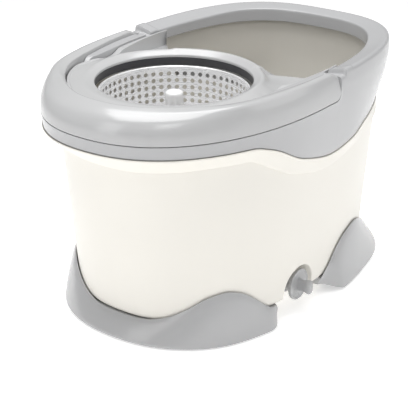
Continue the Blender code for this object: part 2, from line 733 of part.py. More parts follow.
def cover_section(x, y):
    """Section of the cover on the line from the basket's axis to a point of its edge."""
    reach = math.hypot(x - SPIN_X, y)
    out_x, out_y = (x - SPIN_X) / reach, y / reach
    free = smooth_step(reach, COLLAR_RADIUS + 0.022, COLLAR_RADIUS + 0.002)
    free *= smooth_step(x, -0.080, -0.060)            # 1 on the free collar, 0 on the deck
    crown = crest_z(x)
    deck = deck_z(x) * (1 - free) + (crown - 0.006) * free
    stand = smooth_step(x, FLANGE_START_X, FLANGE_START_X + 0.03) * (1 - free)
    if FLANGE_START_X < x < FLANGE_END_X + 0.001:
        beside = rim_point(parameter_at(min(x, FLANGE_END_X)), deck_inset(x))[1]
        stand *= smooth_step(abs(y), beside - 0.008, beside - 0.001)
    flange = deck + max(0.0, FLANGE_TOP_Z - deck) * stand
    low = min(deck - 0.0045, COVER_LIP_Z - 0.0045) - (COLLAR_DROP - 0.0085) * free
    band = flange_width(x) * (1 - free) + 0.0026 * free
    wall = COVER_WALL
    bore = OPENING_RADIUS
    seat = liner_radius() + FIT
    seat_low = COVER_LIP_Z - wall - LINER_HEIGHT - 0.0026
    crest = bore + min(0.0105, (reach - bore) * 0.5)
    profile = [
        (bore, COVER_LIP_Z - wall), (bore, COVER_LIP_Z - 0.0008), (bore + 0.0010, COVER_LIP_Z),
        (crest - 0.004, crown - 0.0010), (crest, crown),
        (min(crest + 0.004, reach - band - 0.0018), crown - 0.0014),
        (reach - band - 0.0008, deck), (reach - band, max(flange - 0.0003, deck + 0.0001)),
        (reach - 0.0008, flange), (reach, flange - 0.0008), (reach, low),
        (reach - wall, low), (reach - wall, min(deck, COVER_LIP_Z) - wall - 0.0012),
        (seat + 0.0025, min(deck, COVER_LIP_Z) - wall - 0.0012), (seat + 0.0020, seat_low),
        (seat, seat_low), (seat, COVER_LIP_Z - wall)]
    return [(SPIN_X + r * out_x, r * out_y, z) for r, z in profile]


def liner_radius():
    return OPENING_RADIUS + 0.0003 + LINER_WALL


def make_cover():
    """The lift-off cover, lofted round the opening."""
    side = cover_outline()
    outline = side + [(x, -y) for x, y in reversed(side[1:-1])]
    sections = [cover_section(x, y) for x, y in outline]
    add_object("basket_cover", loft_mesh("basket_cover", sections, True), light_plastic(), PARTS)
    top = COVER_LIP_Z - COVER_WALL - FIT
    liner = [(liner_radius(), top), (liner_radius(), top - LINER_HEIGHT),
             (OPENING_RADIUS + 0.0003, top - LINER_HEIGHT), (OPENING_RADIUS + 0.0003, top)]
    turned("collar_liner", liner, dark_plastic(), PARTS, (SPIN_X, 0), RING_STATIONS)


# ================================================================ basket and drive
def make_basket():
    top, floor_z, wall = BASKET_TOP_Z, BASKET_FLOOR_Z, BASKET_WALL
    lip, bead = BASKET_LIP_RADIUS, LIP_BEAD
    profile = [
        (BASKET_TOP_RADIUS, top - 2 * bead), (BASKET_TOP_RADIUS, top - bead * 0.6),
        (lip - bead, top), (lip - bead * 0.3, top - bead * 0.3), (lip, top - bead),
        (lip - bead * 0.3, top - bead * 1.7), (lip - bead, top - 2 * bead),
        (BASKET_TOP_RADIUS + wall, top - 2.2 * bead),
        (BASKET_FLOOR_RADIUS + wall, floor_z + 0.008), (BASKET_FLOOR_RADIUS - 0.001, floor_z + 0.002),
        (BASKET_FLOOR_RADIUS - 0.006, floor_z), (AXLE_RADIUS + 0.002, floor_z),
        (AXLE_RADIUS + 0.002, floor_z + wall), (BASKET_FLOOR_RADIUS - 0.0065, floor_z + wall),
        (BASKET_FLOOR_RADIUS - 0.002, floor_z + 0.0028 + wall * 0.2),
        (BASKET_FLOOR_RADIUS, floor_z + 0.0085)]
    basket = turned("spin_basket", profile, steel(), PARTS, (SPIN_X, 0), RING_STATIONS)
    for row in range(2):
        z = floor_z + 0.035 + row * 0.030
        for i in range(DRAIN_HOLES_ROUND):
            angle = 2 * math.pi * (i + 0.5 * row) / DRAIN_HOLES_ROUND + 0.05
            inner = circle_point(BASKET_FLOOR_RADIUS - 0.004, angle, z)
            outer = circle_point(BASKET_LIP_RADIUS + 0.002, angle, z)
            hole = cylinder_mesh("wall_hole", DRAIN_HOLE_RADIUS, inner, outer, 8)
            boolean(basket, add_cutter("wall_hole_%d_%d" % (row, i), hole), "DIFFERENCE")
    for number, (x, y) in enumerate(hub_screw_places(), 1):
        bore = cylinder_mesh("floor_bore", HUB_SCREW_RADIUS + FIT, (x, y, floor_z - 0.002),
                             (x, y, floor_z + 0.004), 12)
        boolean(basket, add_cutter("floor_bore_%d" % number, bore), "DIFFERENCE")


def hub_screw_places():
    angles = [math.radians(30 + 360 / SCREW_COUNT * i) for i in range(SCREW_COUNT)]
    return [(SPIN_X + HUB_SCREW_CIRCLE * math.cos(a), HUB_SCREW_CIRCLE * math.sin(a))
            for a in angles]


def screw_mesh(name, x, y, head_z, tip_z, radius):
    """A pan-head screw that points up or down from its head."""
    sense = 1 if tip_z > head_z else -1
    head = radius * 2.0
    thick = radius * 1.3

    def ring(r, z):
        return [(x + r * math.cos(2 * math.pi * i / 16), y + r * math.sin(2 * math.pi * i / 16), z)
                for i in range(16)]
    return loft_mesh(name, [
        ring(head * 0.7, head_z - sense * thick), ring(head, head_z - sense * thick * 0.6),
        ring(head, head_z), ring(radius, head_z), ring(radius, tip_z - sense * radius),
        ring(radius * 0.3, tip_z)], closed_path=False)


def make_post():
    """White drive post that centres the mop head, standing on the basket floor."""
    base = BASKET_FLOOR_Z + BASKET_WALL + FIT
    flange_top = base + POST_FLANGE_THICKNESS
    heights = [
        (POST_FLANGE_RADIUS, base, 0), (POST_FLANGE_RADIUS, flange_top - 0.001, 0),
        (POST_FLANGE_RADIUS - 0.001, flange_top, 0), (POST_RADIUS + 0.002, flange_top, 0),
        (POST_RADIUS, flange_top + 0.003, 1), (POST_RADIUS * 0.94, POST_TOP_Z - 0.016, 1),
        (POST_RADIUS * 0.90, POST_TOP_Z - 0.009, 0), (POST_RADIUS * 0.72, POST_TOP_Z - 0.003, 0),
        (POST_RADIUS * 0.38, POST_TOP_Z - 0.0006, 0)]
    count = POST_FLUTES * 6
    sections = []
    for radius, z, fluted in heights:
        ring = []
        for i in range(count):
            angle = 2 * math.pi * i / count
            depth = 0.0009 * fluted * (1 - math.cos(POST_FLUTES * angle)) / 2
            ring.append(circle_point(radius - depth, angle, z))
        sections.append(ring)
    post = add_object("drive_post", loft_mesh("drive_post", sections, False), white_plastic(),
                      PARTS)
    socket = cylinder_mesh("post_socket", AXLE_RADIUS + FIT,
                           (SPIN_X, 0, base - 0.002), (SPIN_X, 0, base + 0.020))
    boolean(post, add_cutter("post_socket", socket), "DIFFERENCE")
    for number, (x, y) in enumerate(hub_screw_places(), 1):
        bore = cylinder_mesh("flange_bore", HUB_SCREW_RADIUS + FIT, (x, y, base - 0.002),
                             (x, y, flange_top - 0.001), 12)
        boolean(post, add_cutter("flange_bore_%d" % number, bore), "DIFFERENCE")


def make_hub():
    """Plastic hub clamped under the basket floor, keyed to the axle."""
    bore = AXLE_RADIUS + FIT
    profile = [
        (bore, HUB_TOP_Z), (HUB_RADIUS, HUB_TOP_Z), (HUB_RADIUS, HUB_TOP_Z - 0.004),
        (HUB_RADIUS - 0.002, HUB_TOP_Z - 0.005), (0.012, HUB_TOP_Z - 0.006),
        (0.011, HUB_BOTTOM_Z), (bore, HUB_BOTTOM_Z)]
    hub = turned("basket_hub", profile, grey_plastic(), PARTS, (SPIN_X, 0), 40)
    head_z = HUB_TOP_Z - 0.0058 - FIT
    for number, (x, y) in enumerate(hub_screw_places(), 1):
        hole = cylinder_mesh("hub_bore", HUB_SCREW_RADIUS + FIT, (x, y, HUB_TOP_Z - 0.02),
                             (x, y, HUB_TOP_Z + 0.002), 12)
        boolean(hub, add_cutter("hub_bore_%d" % number, hole), "DIFFERENCE")
        tip_z = BASKET_FLOOR_Z + BASKET_WALL + FIT + POST_FLANGE_THICKNESS - 0.0015
        screw = screw_mesh("hub_screw_%d" % number, x, y, head_z, tip_z, HUB_SCREW_RADIUS)
        add_object("hub_screw_%d" % number, screw, steel(), PARTS)


def make_axle():
    top = BASKET_FLOOR_Z + BASKET_WALL + 0.018
    seat = HUB_BOTTOM_Z - FIT
    bottom = LOWER_SEAT_Z - BEARING_HEIGHT - 0.006
    shoulder_low = TOWER_TOP_Z + FIT
    profile = [
        (0, top), (AXLE_RADIUS - 0.0005, top), (AXLE_RADIUS, top - 0.0005), (AXLE_RADIUS, seat),
        (AXLE_SHOULDER_RADIUS, seat), (AXLE_SHOULDER_RADIUS, shoulder_low),
        (AXLE_RADIUS, shoulder_low), (AXLE_RADIUS, bottom + 0.0005),
        (AXLE_RADIUS - 0.0005, bottom), (0, bottom)]
    turned("spin_axle", profile, steel(), PARTS, (SPIN_X, 0), 24, closed=False)
    clip_top = LOWER_SEAT_Z - BEARING_HEIGHT - 2 * FIT - FIT
    clip = [(AXLE_RADIUS + FIT, clip_top), (CLIP_RADIUS, clip_top),
            (CLIP_RADIUS, clip_top - CLIP_THICKNESS),
            (AXLE_RADIUS + FIT, clip_top - CLIP_THICKNESS)]
    turned("axle_clip", clip, steel(), PARTS, (SPIN_X, 0), 24)


def make_bearings():
    bore = AXLE_RADIUS + FIT
    tops = (("upper_bearing", TOWER_TOP_Z - FIT), ("lower_bearing", LOWER_SEAT_Z - FIT))
    for name, top in tops:
        low = top - BEARING_HEIGHT
        profile = [
            (bore, top), (BEARING_RADIUS - 0.0005, top), (BEARING_RADIUS, top - 0.0005),
            (BEARING_RADIUS, low + 0.0005), (BEARING_RADIUS - 0.0005, low), (bore, low)]
        turned(name, profile, steel(), PARTS, (SPIN_X, 0), 24)


def make_tower():
    """Plastic tower on the tub floor that holds the two bearings."""
    seat = BEARING_RADIUS + FIT
    upper_floor = TOWER_TOP_Z - BEARING_HEIGHT - 2 * FIT
    throat = CLIP_RADIUS + 0.0003 - 0.001
    profile = [
        (seat, TOWER_TOP_Z), (TOWER_TOP_RADIUS, TOWER_TOP_Z),
        (TOWER_BASE_RADIUS, TOWER_BOTTOM_Z + 0.010),
        (TOWER_BASE_RADIUS + 0.002, TOWER_BOTTOM_Z + 0.004),
        (TOWER_FLANGE_RADIUS, TOWER_BOTTOM_Z + 0.004), (TOWER_FLANGE_RADIUS, TOWER_BOTTOM_Z),
        (TOWER_BASE_RADIUS - 0.003, TOWER_BOTTOM_Z),
        (seat + 0.002, LOWER_SEAT_Z - BEARING_HEIGHT - 0.014),
        (seat, LOWER_SEAT_Z - BEARING_HEIGHT - 0.010), (seat, LOWER_SEAT_Z),
        (throat, LOWER_SEAT_Z), (throat, upper_floor), (seat, upper_floor)]
    tower = turned("spin_tower", profile, grey_plastic(), PARTS, (SPIN_X, 0), 40)
    for number, (x, y) in enumerate(tower_screw_places(), 1):
        hole = cylinder_mesh("tower_hole", TOWER_SCREW_RADIUS + FIT, (x, y, TOWER_BOTTOM_Z - 0.002),
                             (x, y, TOWER_BOTTOM_Z + 0.006), 12)
        boolean(tower, add_cutter("tower_hole_%d" % number, hole), "DIFFERENCE")
        screw = screw_mesh("tower_screw_%d" % number, x, y, TOWER_BOTTOM_Z + 0.004 + FIT,
                           FLOOR_TOP_Z + 0.0015, TOWER_SCREW_RADIUS)
        add_object("tower_screw_%d" % number, screw, steel(), PARTS)


# ================================================================ drain
def drain_turned(name, profile, finish, segments=40):
    """A piece turned about the drain's axis: profile (radius, distance outward from the pocket)."""
    sections = []
    wall_y = pocket_wall_y()
    for i in range(segments):
        angle = 2 * math.pi * i / segments
        sections.append([(DRAIN_X + r * math.cos(angle), wall_y - out, DRAIN_Z + r * math.sin(angle))
                         for r, out in profile])
    return add_object(name, loft_mesh(name, sections, True), finish, PARTS)


def make_drain():
    seal = 0.0018
    drain_turned("drain_seal", [(SPOUT_RADIUS + FIT, FIT), (0.0125, FIT), (0.0125, FIT + seal),
                                (SPOUT_RADIUS + FIT, FIT + seal)], rubber())
    flange = 2 * FIT + seal
    inside = -(TUB_WALL + 0.0035)
    drain_turned("drain_spout", [
        (SPOUT_BORE, inside), (SPOUT_RADIUS, inside), (SPOUT_RADIUS, flange),
        (0.0130, flange), (0.0130, flange + 0.0025), (SPOUT_RADIUS, flange + 0.0025),
        (SPOUT_RADIUS, flange + 0.010), (SPOUT_BORE, flange + 0.010)], grey_plastic())

    face = NOTCH_DEPTH - 0.001
    back = face - CAP_DISC_THICKNESS
    cap = [(0.0, face), (CAP_DISC_RADIUS - 0.001, face), (CAP_DISC_RADIUS, face - 0.001),
           (CAP_DISC_RADIUS, back), (0.0112, back), (0.0112, flange + 0.005),
           (SPOUT_RADIUS + 0.001, flange + 0.005), (SPOUT_RADIUS + 0.001, back - 0.001),
           (SPOUT_BORE - 0.0006, back - 0.001), (SPOUT_BORE - 0.0006, flange + 0.001), (0.0, flange + 0.001)]
    cap_mesh = turned_about_drain("drain_cap", cap)
    knob = add_object("drain_cap", cap_mesh, grey_plastic(), PARTS)
    wall_y = pocket_wall_y()
    grip = grip_mesh("cap_grip", wall_y - face + 0.001, wall_y - face - GRIP_REACH)
    boolean(knob, add_cutter("cap_grip", grip), "UNION")
    parent_on_axis(knob, "drain_axis", (DRAIN_X, wall_y, DRAIN_Z))


def turned_about_drain(name, profile, segments=40):
    """A closed turned solid whose profile starts and ends on the drain's axis."""
    wall_y = pocket_wall_y()

    def ring(radius, out):
        points = []
        for i in range(segments):
            angle = 2 * math.pi * i / segments
            points.append((DRAIN_X + radius * math.cos(angle), wall_y - out,
                           DRAIN_Z + radius * math.sin(angle)))
        return points
    rings = [ring(radius, out) for radius, out in profile[1:-1]]
    return loft_mesh(name, rings, closed_path=False)


def grip_mesh(name, start_y, end_y):
    """The cap's flat grip: a fin that swells into a rounded knob at its end."""
    stations = [(0.0, 0.90, 0.75), (0.25, 0.82, 0.70), (0.5, 0.80, 0.75), (0.68, 0.95, 1.0),
                (0.9, 1.0, 1.05), (1.0, 0.82, 0.85)]
    sections = []
    for share, tall, thick in stations:
        y = start_y + (end_y - start_y) * share
        half_z, half_x = GRIP_HEIGHT / 2 * tall, GRIP_THICKNESS / 2 * thick
        ring = []
        for i in range(16):
            angle = 2 * math.pi * i / 16
            u = math.copysign(abs(math.cos(angle)) ** 0.7, math.cos(angle))
            v = math.copysign(abs(math.sin(angle)) ** 0.7, math.sin(angle))
            ring.append((DRAIN_X + half_x * u, y, DRAIN_Z + half_z * v))
        sections.append(ring)
    return loft_mesh(name, sections, closed_path=False)


# ================================================================ feet
def foot_section(t, low, top_z, flare, cavity):
    """Foot section at a station: flared outside, shelf under the tub, hollow below."""
    shelf = TUB_FLOOR_Z - FIT
    top_z = max(top_z, shelf + 0.0012)
    hug = FIT + 0.0002
    bottom = shelf - 0.0030

    def place(z, offset):
        wall_z = max(z, TUB_FLOOR_Z + 0.006)
        return (*plan_point(t, shift_insets(blend_insets(wall_z), -offset)), z)

    roof = low + (bottom - low) * cavity
    return [
        place(low, flare), place(low + (top_z - low) * 0.30, flare * 0.86),
        place(low + (top_z - low) * 0.62, flare * 0.58 + 0.0008),
        place(low + (top_z - low) * 0.88, flare * 0.25 + 0.0015), place(top_z, hug + 0.0012),
        place(top_z - 0.0002, hug), place(shelf + 0.0002, hug), place(shelf, hug - 0.007),
        place(shelf, -FOOT_SHELF), place(low, -FOOT_SHELF), place(low, -FOOT_SHELF + 0.0025),
        place(roof, -FOOT_SHELF + 0.0025), place(roof, flare * 0.5 - 0.0045),
        place(low, flare - 0.0030)]


def front_foot_top(x):
    return flow(x, FRONT_EDGE)


def rear_foot_top(x):
    return flow(x, REAR_EDGE)


def foot_x(t):
    return plan_point(t, TUB_BOTTOM_INSETS)[0]


def end_parameter(x):
    """Parameter at which the tub's bottom outline has this x, on the +Y side."""
    low, high = 0.0, math.pi
    for _ in range(40):
        middle = (low + high) / 2
        if foot_x(middle) > x:
            low = middle
        else:
            high = middle
    return (low + high) / 2


def make_foot(name, end_x, tip_flare, tip_rise, top_at, flare_at, is_front):
    start = end_parameter(end_x)
    span = (2 * math.pi - 2 * start) if is_front else 2 * start
    count = 40
    sections = []
    for i in range(count + 1):
        t = start + span * i / count if is_front else -start + span * i / count
        x = foot_x(t)
        from_end = abs(x - end_x)
        close = smooth_step(from_end, 0.0, 0.016 + tip_rise)
        flare = tip_flare + (flare_at(x) - tip_flare) * close
        cavity = smooth_step(from_end, 0.004, 0.014) * 0.94 + 0.02
        low = FOOT_CLEAR_Z + tip_rise * (1 - smooth_step(from_end, 0.0, 0.030))
        sections.append(foot_section(t, low, top_at(x), flare, cavity))
    return add_object(name, loft_mesh(name, sections, False), grey_plastic(), PARTS)


def front_flare(x):
    return 0.0172 - 0.0055 * smooth_step(x, -0.150, -0.080)


def rear_flare(x):
    return 0.0155 + 0.010 * smooth_step(x, 0.09, 0.18)


def make_feet():
    make_foot("front_foot", -0.064, -0.002, 0.0, front_foot_top, front_flare, True)
    make_foot("rear_foot", 0.016, -0.002, 0.012, rear_foot_top, rear_flare, False)
    roof = FOOT_CLEAR_Z + (TUB_FLOOR_Z - FIT - 0.003 - FOOT_CLEAR_Z) * 0.96
    for label, x in (("front", -0.122), ("rear", 0.110)):
        t = end_parameter(x)
        px, py = plan_point(t, shift_insets(TUB_BOTTOM_INSETS, 0.0035))
        for side_name, side in (("near", -1), ("far", 1)):
            name = "%s_pad_%s" % (label, side_name)
            profile = [(0, roof - FIT), (0.0032, roof - FIT), (0.0032, 0.0060),
                       (PAD_RADIUS, 0.0050), (PAD_RADIUS, 0.0008), (PAD_RADIUS - 0.0008, 0.0),
                       (0, 0.0)]
            turned(name, profile, rubber(), PARTS, (px, side * py), 24, closed=False)


# ================================================================ wash stud
def make_wash_stud():
    """Fixed stud on the tub floor and the cap that turns on it under the mop head."""
    base = FLOOR_TOP_Z + FIT
    stud = [(0, base + 0.038), (STUD_RADIUS - 0.001, base + 0.038), (STUD_RADIUS, base + 0.037),
            (STUD_RADIUS, base + 0.006), (0.008, base + 0.004), (STUD_FLANGE_RADIUS, base + 0.003),
            (STUD_FLANGE_RADIUS, base), (0, base)]
    turned("wash_stud", stud, cream_plastic(), PARTS, (WASH_X, 0), 32, closed=False)
    low = base + 0.007
    bore = STUD_RADIUS + FIT
    cap = [(0, base + 0.046), (0.004, base + 0.0455), (0.007, base + 0.0435),
           (WASH_CAP_RADIUS, base + 0.039), (WASH_CAP_RADIUS, low), (bore, low),
           (bore, base + 0.038 + FIT), (0, base + 0.038 + FIT)]
    turned("wash_cap", cap, white_plastic(), PARTS, (WASH_X, 0), 32, closed=False)


clear_scene()
PARTS = make_collection("spin_mop_bucket")
CUTTERS = make_collection("cutters")
make_tub()
make_trim()
make_handle()
make_cover()
make_basket()
make_post()
make_hub()
make_axle()
make_bearings()
make_tower()
make_drain()
make_feet()
make_wash_stud()
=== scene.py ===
import math

import bmesh
import bpy
import numpy as np
from mathutils import Matrix, Vector


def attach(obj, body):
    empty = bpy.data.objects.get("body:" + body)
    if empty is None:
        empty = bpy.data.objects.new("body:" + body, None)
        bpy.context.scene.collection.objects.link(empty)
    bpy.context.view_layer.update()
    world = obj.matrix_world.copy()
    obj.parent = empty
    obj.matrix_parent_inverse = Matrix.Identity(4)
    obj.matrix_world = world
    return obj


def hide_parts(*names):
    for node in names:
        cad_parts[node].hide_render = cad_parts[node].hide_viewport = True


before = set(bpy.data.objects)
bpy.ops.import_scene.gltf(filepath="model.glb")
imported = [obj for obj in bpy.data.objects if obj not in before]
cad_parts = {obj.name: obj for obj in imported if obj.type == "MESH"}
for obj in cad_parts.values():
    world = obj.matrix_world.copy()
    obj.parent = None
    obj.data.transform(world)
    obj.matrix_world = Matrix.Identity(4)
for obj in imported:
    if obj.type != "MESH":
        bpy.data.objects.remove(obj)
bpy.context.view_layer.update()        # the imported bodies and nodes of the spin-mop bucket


# ---------------------------------------------------------------------------
# Studio: the camera, a pale floor and soft light from large panels.
# The floor is plain matt board under the bucket, with nothing else in the room.
# ---------------------------------------------------------------------------
view_target = Vector((-0.01395, 0.01125, 0.08802))
view_turn, view_tilt = math.radians(-53.727), math.radians(23.766)
view_back = Vector((math.sin(view_turn) * math.cos(view_tilt),
                    -math.cos(view_turn) * math.cos(view_tilt), math.sin(view_tilt)))
camera_data = bpy.data.cameras.new("studio_camera")
camera_data.lens = 113.79
camera_data.sensor_width = 36.0
camera = bpy.data.objects.new("studio_camera", camera_data)
camera.location = view_target + view_back * 1.48776
camera.rotation_mode = "QUATERNION"
camera.rotation_quaternion = (-view_back).to_track_quat("-Z", "Y")
bpy.context.collection.objects.link(camera)
bpy.context.scene.camera = camera
bpy.context.scene.view_settings.view_transform = "Standard"


def soft_panel(name, place, aim, width, height, power, tint=(1.0, 1.0, 1.0)):
    """A large area light at a place, facing a point."""
    data = bpy.data.lights.new(name, "AREA")
    data.shape = "RECTANGLE"
    data.size, data.size_y = width, height
    data.energy = power
    data.color = tint
    panel = bpy.data.objects.new(name, data)
    panel.location = place
    panel.rotation_mode = "QUATERNION"
    panel.rotation_quaternion = (Vector(aim) - Vector(place)).to_track_quat("-Z", "Y")
    bpy.context.collection.objects.link(panel)


soft_panel("panel_above", (-0.05, 0.10, 1.50), (0.0, 0.0, 0.1), 1.1, 1.1, 19.0)
soft_panel("panel_left", (-1.50, 0.35, 0.75), (0.0, 0.0, 0.15), 0.5, 1.3, 4.0)
soft_panel("panel_right", (0.75, -1.35, 0.80), (0.0, 0.0, 0.12), 0.9, 1.2, 4.4)
soft_panel("panel_front", (-0.95, -0.78, 1.35), (-0.06, 0.02, 0.22), 0.45, 0.45, 2.4)

room = bpy.data.worlds.new("pale_room")
room.use_nodes = True
room.node_tree.nodes["Background"].inputs["Color"].default_value = (1.0, 1.0, 1.0, 1.0)
room.node_tree.nodes["Background"].inputs["Strength"].default_value = 0.29
bpy.context.scene.world = room

board = bpy.data.materials.new("pale_board")
board.use_nodes = True
board_nodes, board_links = board.node_tree.nodes, board.node_tree.links
board_shader = board_nodes["Principled BSDF"]
board_shader.inputs["Roughness"].default_value = 0.95
board_shader.inputs["Specular IOR Level"].default_value = 0.1
board_shader.inputs["Emission Color"].default_value = (1.0, 1.0, 1.0, 1.0)
board_shader.inputs["Emission Strength"].default_value = 0.42
board_noise = board_nodes.new("ShaderNodeTexNoise")
board_noise.inputs["Scale"].default_value = 3.0
board_ramp = board_nodes.new("ShaderNodeValToRGB")
board_ramp.color_ramp.elements[0].color = (0.945, 0.945, 0.945, 1.0)
board_ramp.color_ramp.elements[1].color = (0.960, 0.960, 0.960, 1.0)
board_place = board_nodes.new("ShaderNodeTexCoord")
board_links.new(board_place.outputs["Object"], board_noise.inputs["Vector"])
board_links.new(board_noise.outputs["Fac"], board_ramp.inputs["Fac"])
board_links.new(board_ramp.outputs["Color"], board_shader.inputs["Base Color"])
floor_mesh = bpy.data.meshes.new("studio_floor")
floor_mesh.from_pydata([(-6, -6, -0.0004), (6, -6, -0.0004), (6, 6, -0.0004), (-6, 6, -0.0004)],
                       [], [(0, 1, 2, 3)])
floor_mesh.materials.append(board)
studio_floor = bpy.data.objects.new("studio_floor", floor_mesh)
bpy.context.collection.objects.link(studio_floor)


# ---------------------------------------------------------------------------
# Tub: one polypropylene moulding in warm off-white, straight from a polished mould.
# Its wall tapers to the floor, and a band swells out of it to carry the rim trim.
# The alcove for the drain cap is moulded into the near long side.
# ---------------------------------------------------------------------------
length, width, height = 0.460, 0.290, 0.270
waist_x = -0.014
fit = 0.0004                         # gap between moulded pieces
tub_wall = 0.0025
bead_proud = 0.0010                  # the bead under the trim stands this far out
tub_floor_z, floor_top_z = 0.023, 0.026
tub_high, tub_high_insets = 0.210, (0.0275, 0.0137, 0.0088)
tub_low_insets = (0.0500, 0.0425, 0.0151)
trim_wall = 0.0030
handle_end_x = 0.019
trim_edge = ((-0.230, 0.2240), (-0.125, 0.2224), (-0.097, 0.2150), (-0.045, 0.1902),
             (0.018, 0.1770), (0.060, 0.1815), (0.100, 0.1915), (0.230, 0.2035))
band_edge = ((-0.230, 0.2005), (-0.165, 0.2055), (-0.132, 0.2052), (-0.106, 0.1942),
             (-0.060, 0.1748), (0.018, 0.1623), (0.075, 0.1685), (0.130, 0.1780), (0.230, 0.1850))
spin_x = -0.0826                     # the basket's axis
drain_x, drain_z = -0.0270, 0.0325
notch_x, notch_half_width, notch_top_z = -0.0290, 0.0262, 0.0560


def ease(value, start, end):
    share = min(1.0, max(0.0, (value - start) / (end - start)))
    return share * share * (3 - 2 * share)


def flow(x, knots):
    """A smooth curve through a few (x, z) knots, level where they turn."""
    if x <= knots[0][0]:
        return knots[0][1]
    if x >= knots[-1][0]:
        return knots[-1][1]
    slopes = [(b[1] - a[1]) / (b[0] - a[0]) for a, b in zip(knots, knots[1:])]
    tangents = [slopes[0]]
    for before, after in zip(slopes, slopes[1:]):
        tangents.append(0.0 if before * after <= 0 else 2 * before * after / (before + after))
    tangents.append(slopes[-1])
    for k, (a, b) in enumerate(zip(knots, knots[1:])):
        if x <= b[0]:
            span = b[0] - a[0]
            u = (x - a[0]) / span
            return (a[1] * (2 * u ** 3 - 3 * u ** 2 + 1) + b[1] * (3 * u ** 2 - 2 * u ** 3)
                    + tangents[k] * span * (u ** 3 - 2 * u ** 2 + u)
                    + tangents[k + 1] * span * (u ** 3 - u ** 2))


def plan_point(t, insets):
    """Point of the egg-shaped plan; insets are at the basket end, pour end and sides."""
    cosine, sine = math.cos(t), math.sin(t)
    if cosine < 0:
        reach, exponent = length / 2 + waist_x - insets[0], 2.25
    else:
        reach, exponent = length / 2 - waist_x - insets[1], 2.90
    half = width / 2 - insets[2]
    return (waist_x + math.copysign(reach * abs(cosine) ** (2 / exponent), cosine),
            math.copysign(half * abs(sine) ** (2 / exponent), sine))


def parameter_at(x, inset=0.0):
    """Where along the inset rim, on its +Y side, this x is reached."""
    if x < waist_x:
        return math.pi - math.acos(((waist_x - x) / (length / 2 + waist_x - inset)) ** 1.125)
    return math.acos(((x - waist_x) / (length / 2 - waist_x - inset)) ** 1.45)


def rim_point(t, inset):
    """Point of the inset rim; near the handle's ends a section stays square to X."""
    x, y = plan_point(t, (inset, inset, inset))
    nominal = plan_point(t, (0.0, 0.0, 0.0))[0]
    square = ease(abs(nominal - handle_end_x), 0.085, 0.035)
    if square == 0.0 or inset == 0.0:
        return x, y
    side = min(t, 2 * math.pi - t)
    side += (parameter_at(nominal, inset) - side) * square
    x, y_side = plan_point(side, (inset, inset, inset))
    return x, math.copysign(y_side, y)


def even_stations(count, start=0.0, end=math.pi):
    """Parameters from start to end, spread evenly along the rim."""
    fine = np.linspace(start, end, 4000)
    points = np.array([plan_point(t, (0.0, 0.0, 0.0)) for t in fine])
    steps = np.hypot(*np.diff(points, axis=0).T)
    walked = np.concatenate([[0.0], np.cumsum(steps)])
    return list(np.interp(np.linspace(0.0, walked[-1], count + 1), walked, fine))


def both_sides(side):
    """Stations from 0 to pi, and the same ones mirrored back to the start."""
    return side + [2 * math.pi - t for t in reversed(side[1:-1])]


def tub_insets(z, offset=0.0):
    share = (z - tub_floor_z) / (tub_high - tub_floor_z)
    return tuple(low + (high - low) * share + offset
                 for low, high in zip(tub_low_insets, tub_high_insets))


def skirt_inset(x, z):
    """The trim's outer face leans in below the rim, most of all at the pour end."""
    tuck = 0.0034 + 0.0084 * ease(x, 0.050, 0.210)
    return tuck * (max(0.0, 0.250 - z) / 0.047) ** 1.3


def soften(path, closed):
    """Round a path of (point, radius, pieces to the next point) into a smooth one."""
    points = [Vector(entry[0]) for entry in path]
    last = len(path) - 1
    rounded = []
    for i, (_, radius, pieces) in enumerate(path):
        here = points[i]
        is_end = not closed and i in (0, last)
        if is_end or radius <= 0:
            corner, leave = [here], here
        else:
            before, after = points[i - 1], points[(i + 1) % len(points)]
            into, out = before - here, after - here
            reach = min(radius, into.length * 0.48, out.length * 0.48)
            a, b = here + into.normalized() * reach, here + out.normalized() * reach
            corner = [a * (1 - u) ** 2 + here * 2 * u * (1 - u) + b * u ** 2
                      for u in (0.0, 0.2, 0.4, 0.6, 0.8, 1.0)]
            leave = b
        rounded.extend(corner)
        if i == last and not closed:
            break
        following = points[(i + 1) % len(points)]
        next_radius = path[(i + 1) % len(path)][1]
        next_is_end = not closed and i + 1 == last
        if next_radius > 0 and not next_is_end:
            beyond = points[(i + 2) % len(points)]
            span = following - here
            reach = min(next_radius, span.length * 0.48, (beyond - following).length * 0.48)
            arrive = following - span.normalized() * reach
        else:
            arrive = following
        rounded.extend(leave.lerp(arrive, k / pieces) for k in range(1, pieces))
    return rounded


def skin(name, sections, closed_way, finish=None):
    """A closed mesh over sections of equal point counts, faces outwards."""
    bm = bmesh.new()
    loops = [[bm.verts.new(point) for point in section] for section in sections]
    pairs = list(zip(loops, loops[1:]))
    if closed_way:
        pairs.append((loops[-1], loops[0]))
    count = len(loops[0])
    for first, second in pairs:
        for i in range(count):
            j = (i + 1) % count
            bm.faces.new((first[i], first[j], second[j], second[i]))
    if not closed_way:
        bm.faces.new(loops[0])
        bm.faces.new(list(reversed(loops[-1])))
    bmesh.ops.recalc_face_normals(bm, faces=bm.faces)
    mesh = bpy.data.meshes.new(name)
    bm.to_mesh(mesh)
    bm.free()
    return add_piece(name, mesh, finish)


def add_piece(name, mesh, finish, crease=38):
    for face in mesh.polygons:
        face.use_smooth = True
    mesh.set_sharp_from_angle(angle=math.radians(crease))
    if finish is not None:
        mesh.materials.clear()
        mesh.materials.append(finish)
    piece = bpy.data.objects.new(name, mesh)
    bpy.context.collection.objects.link(piece)
    return piece


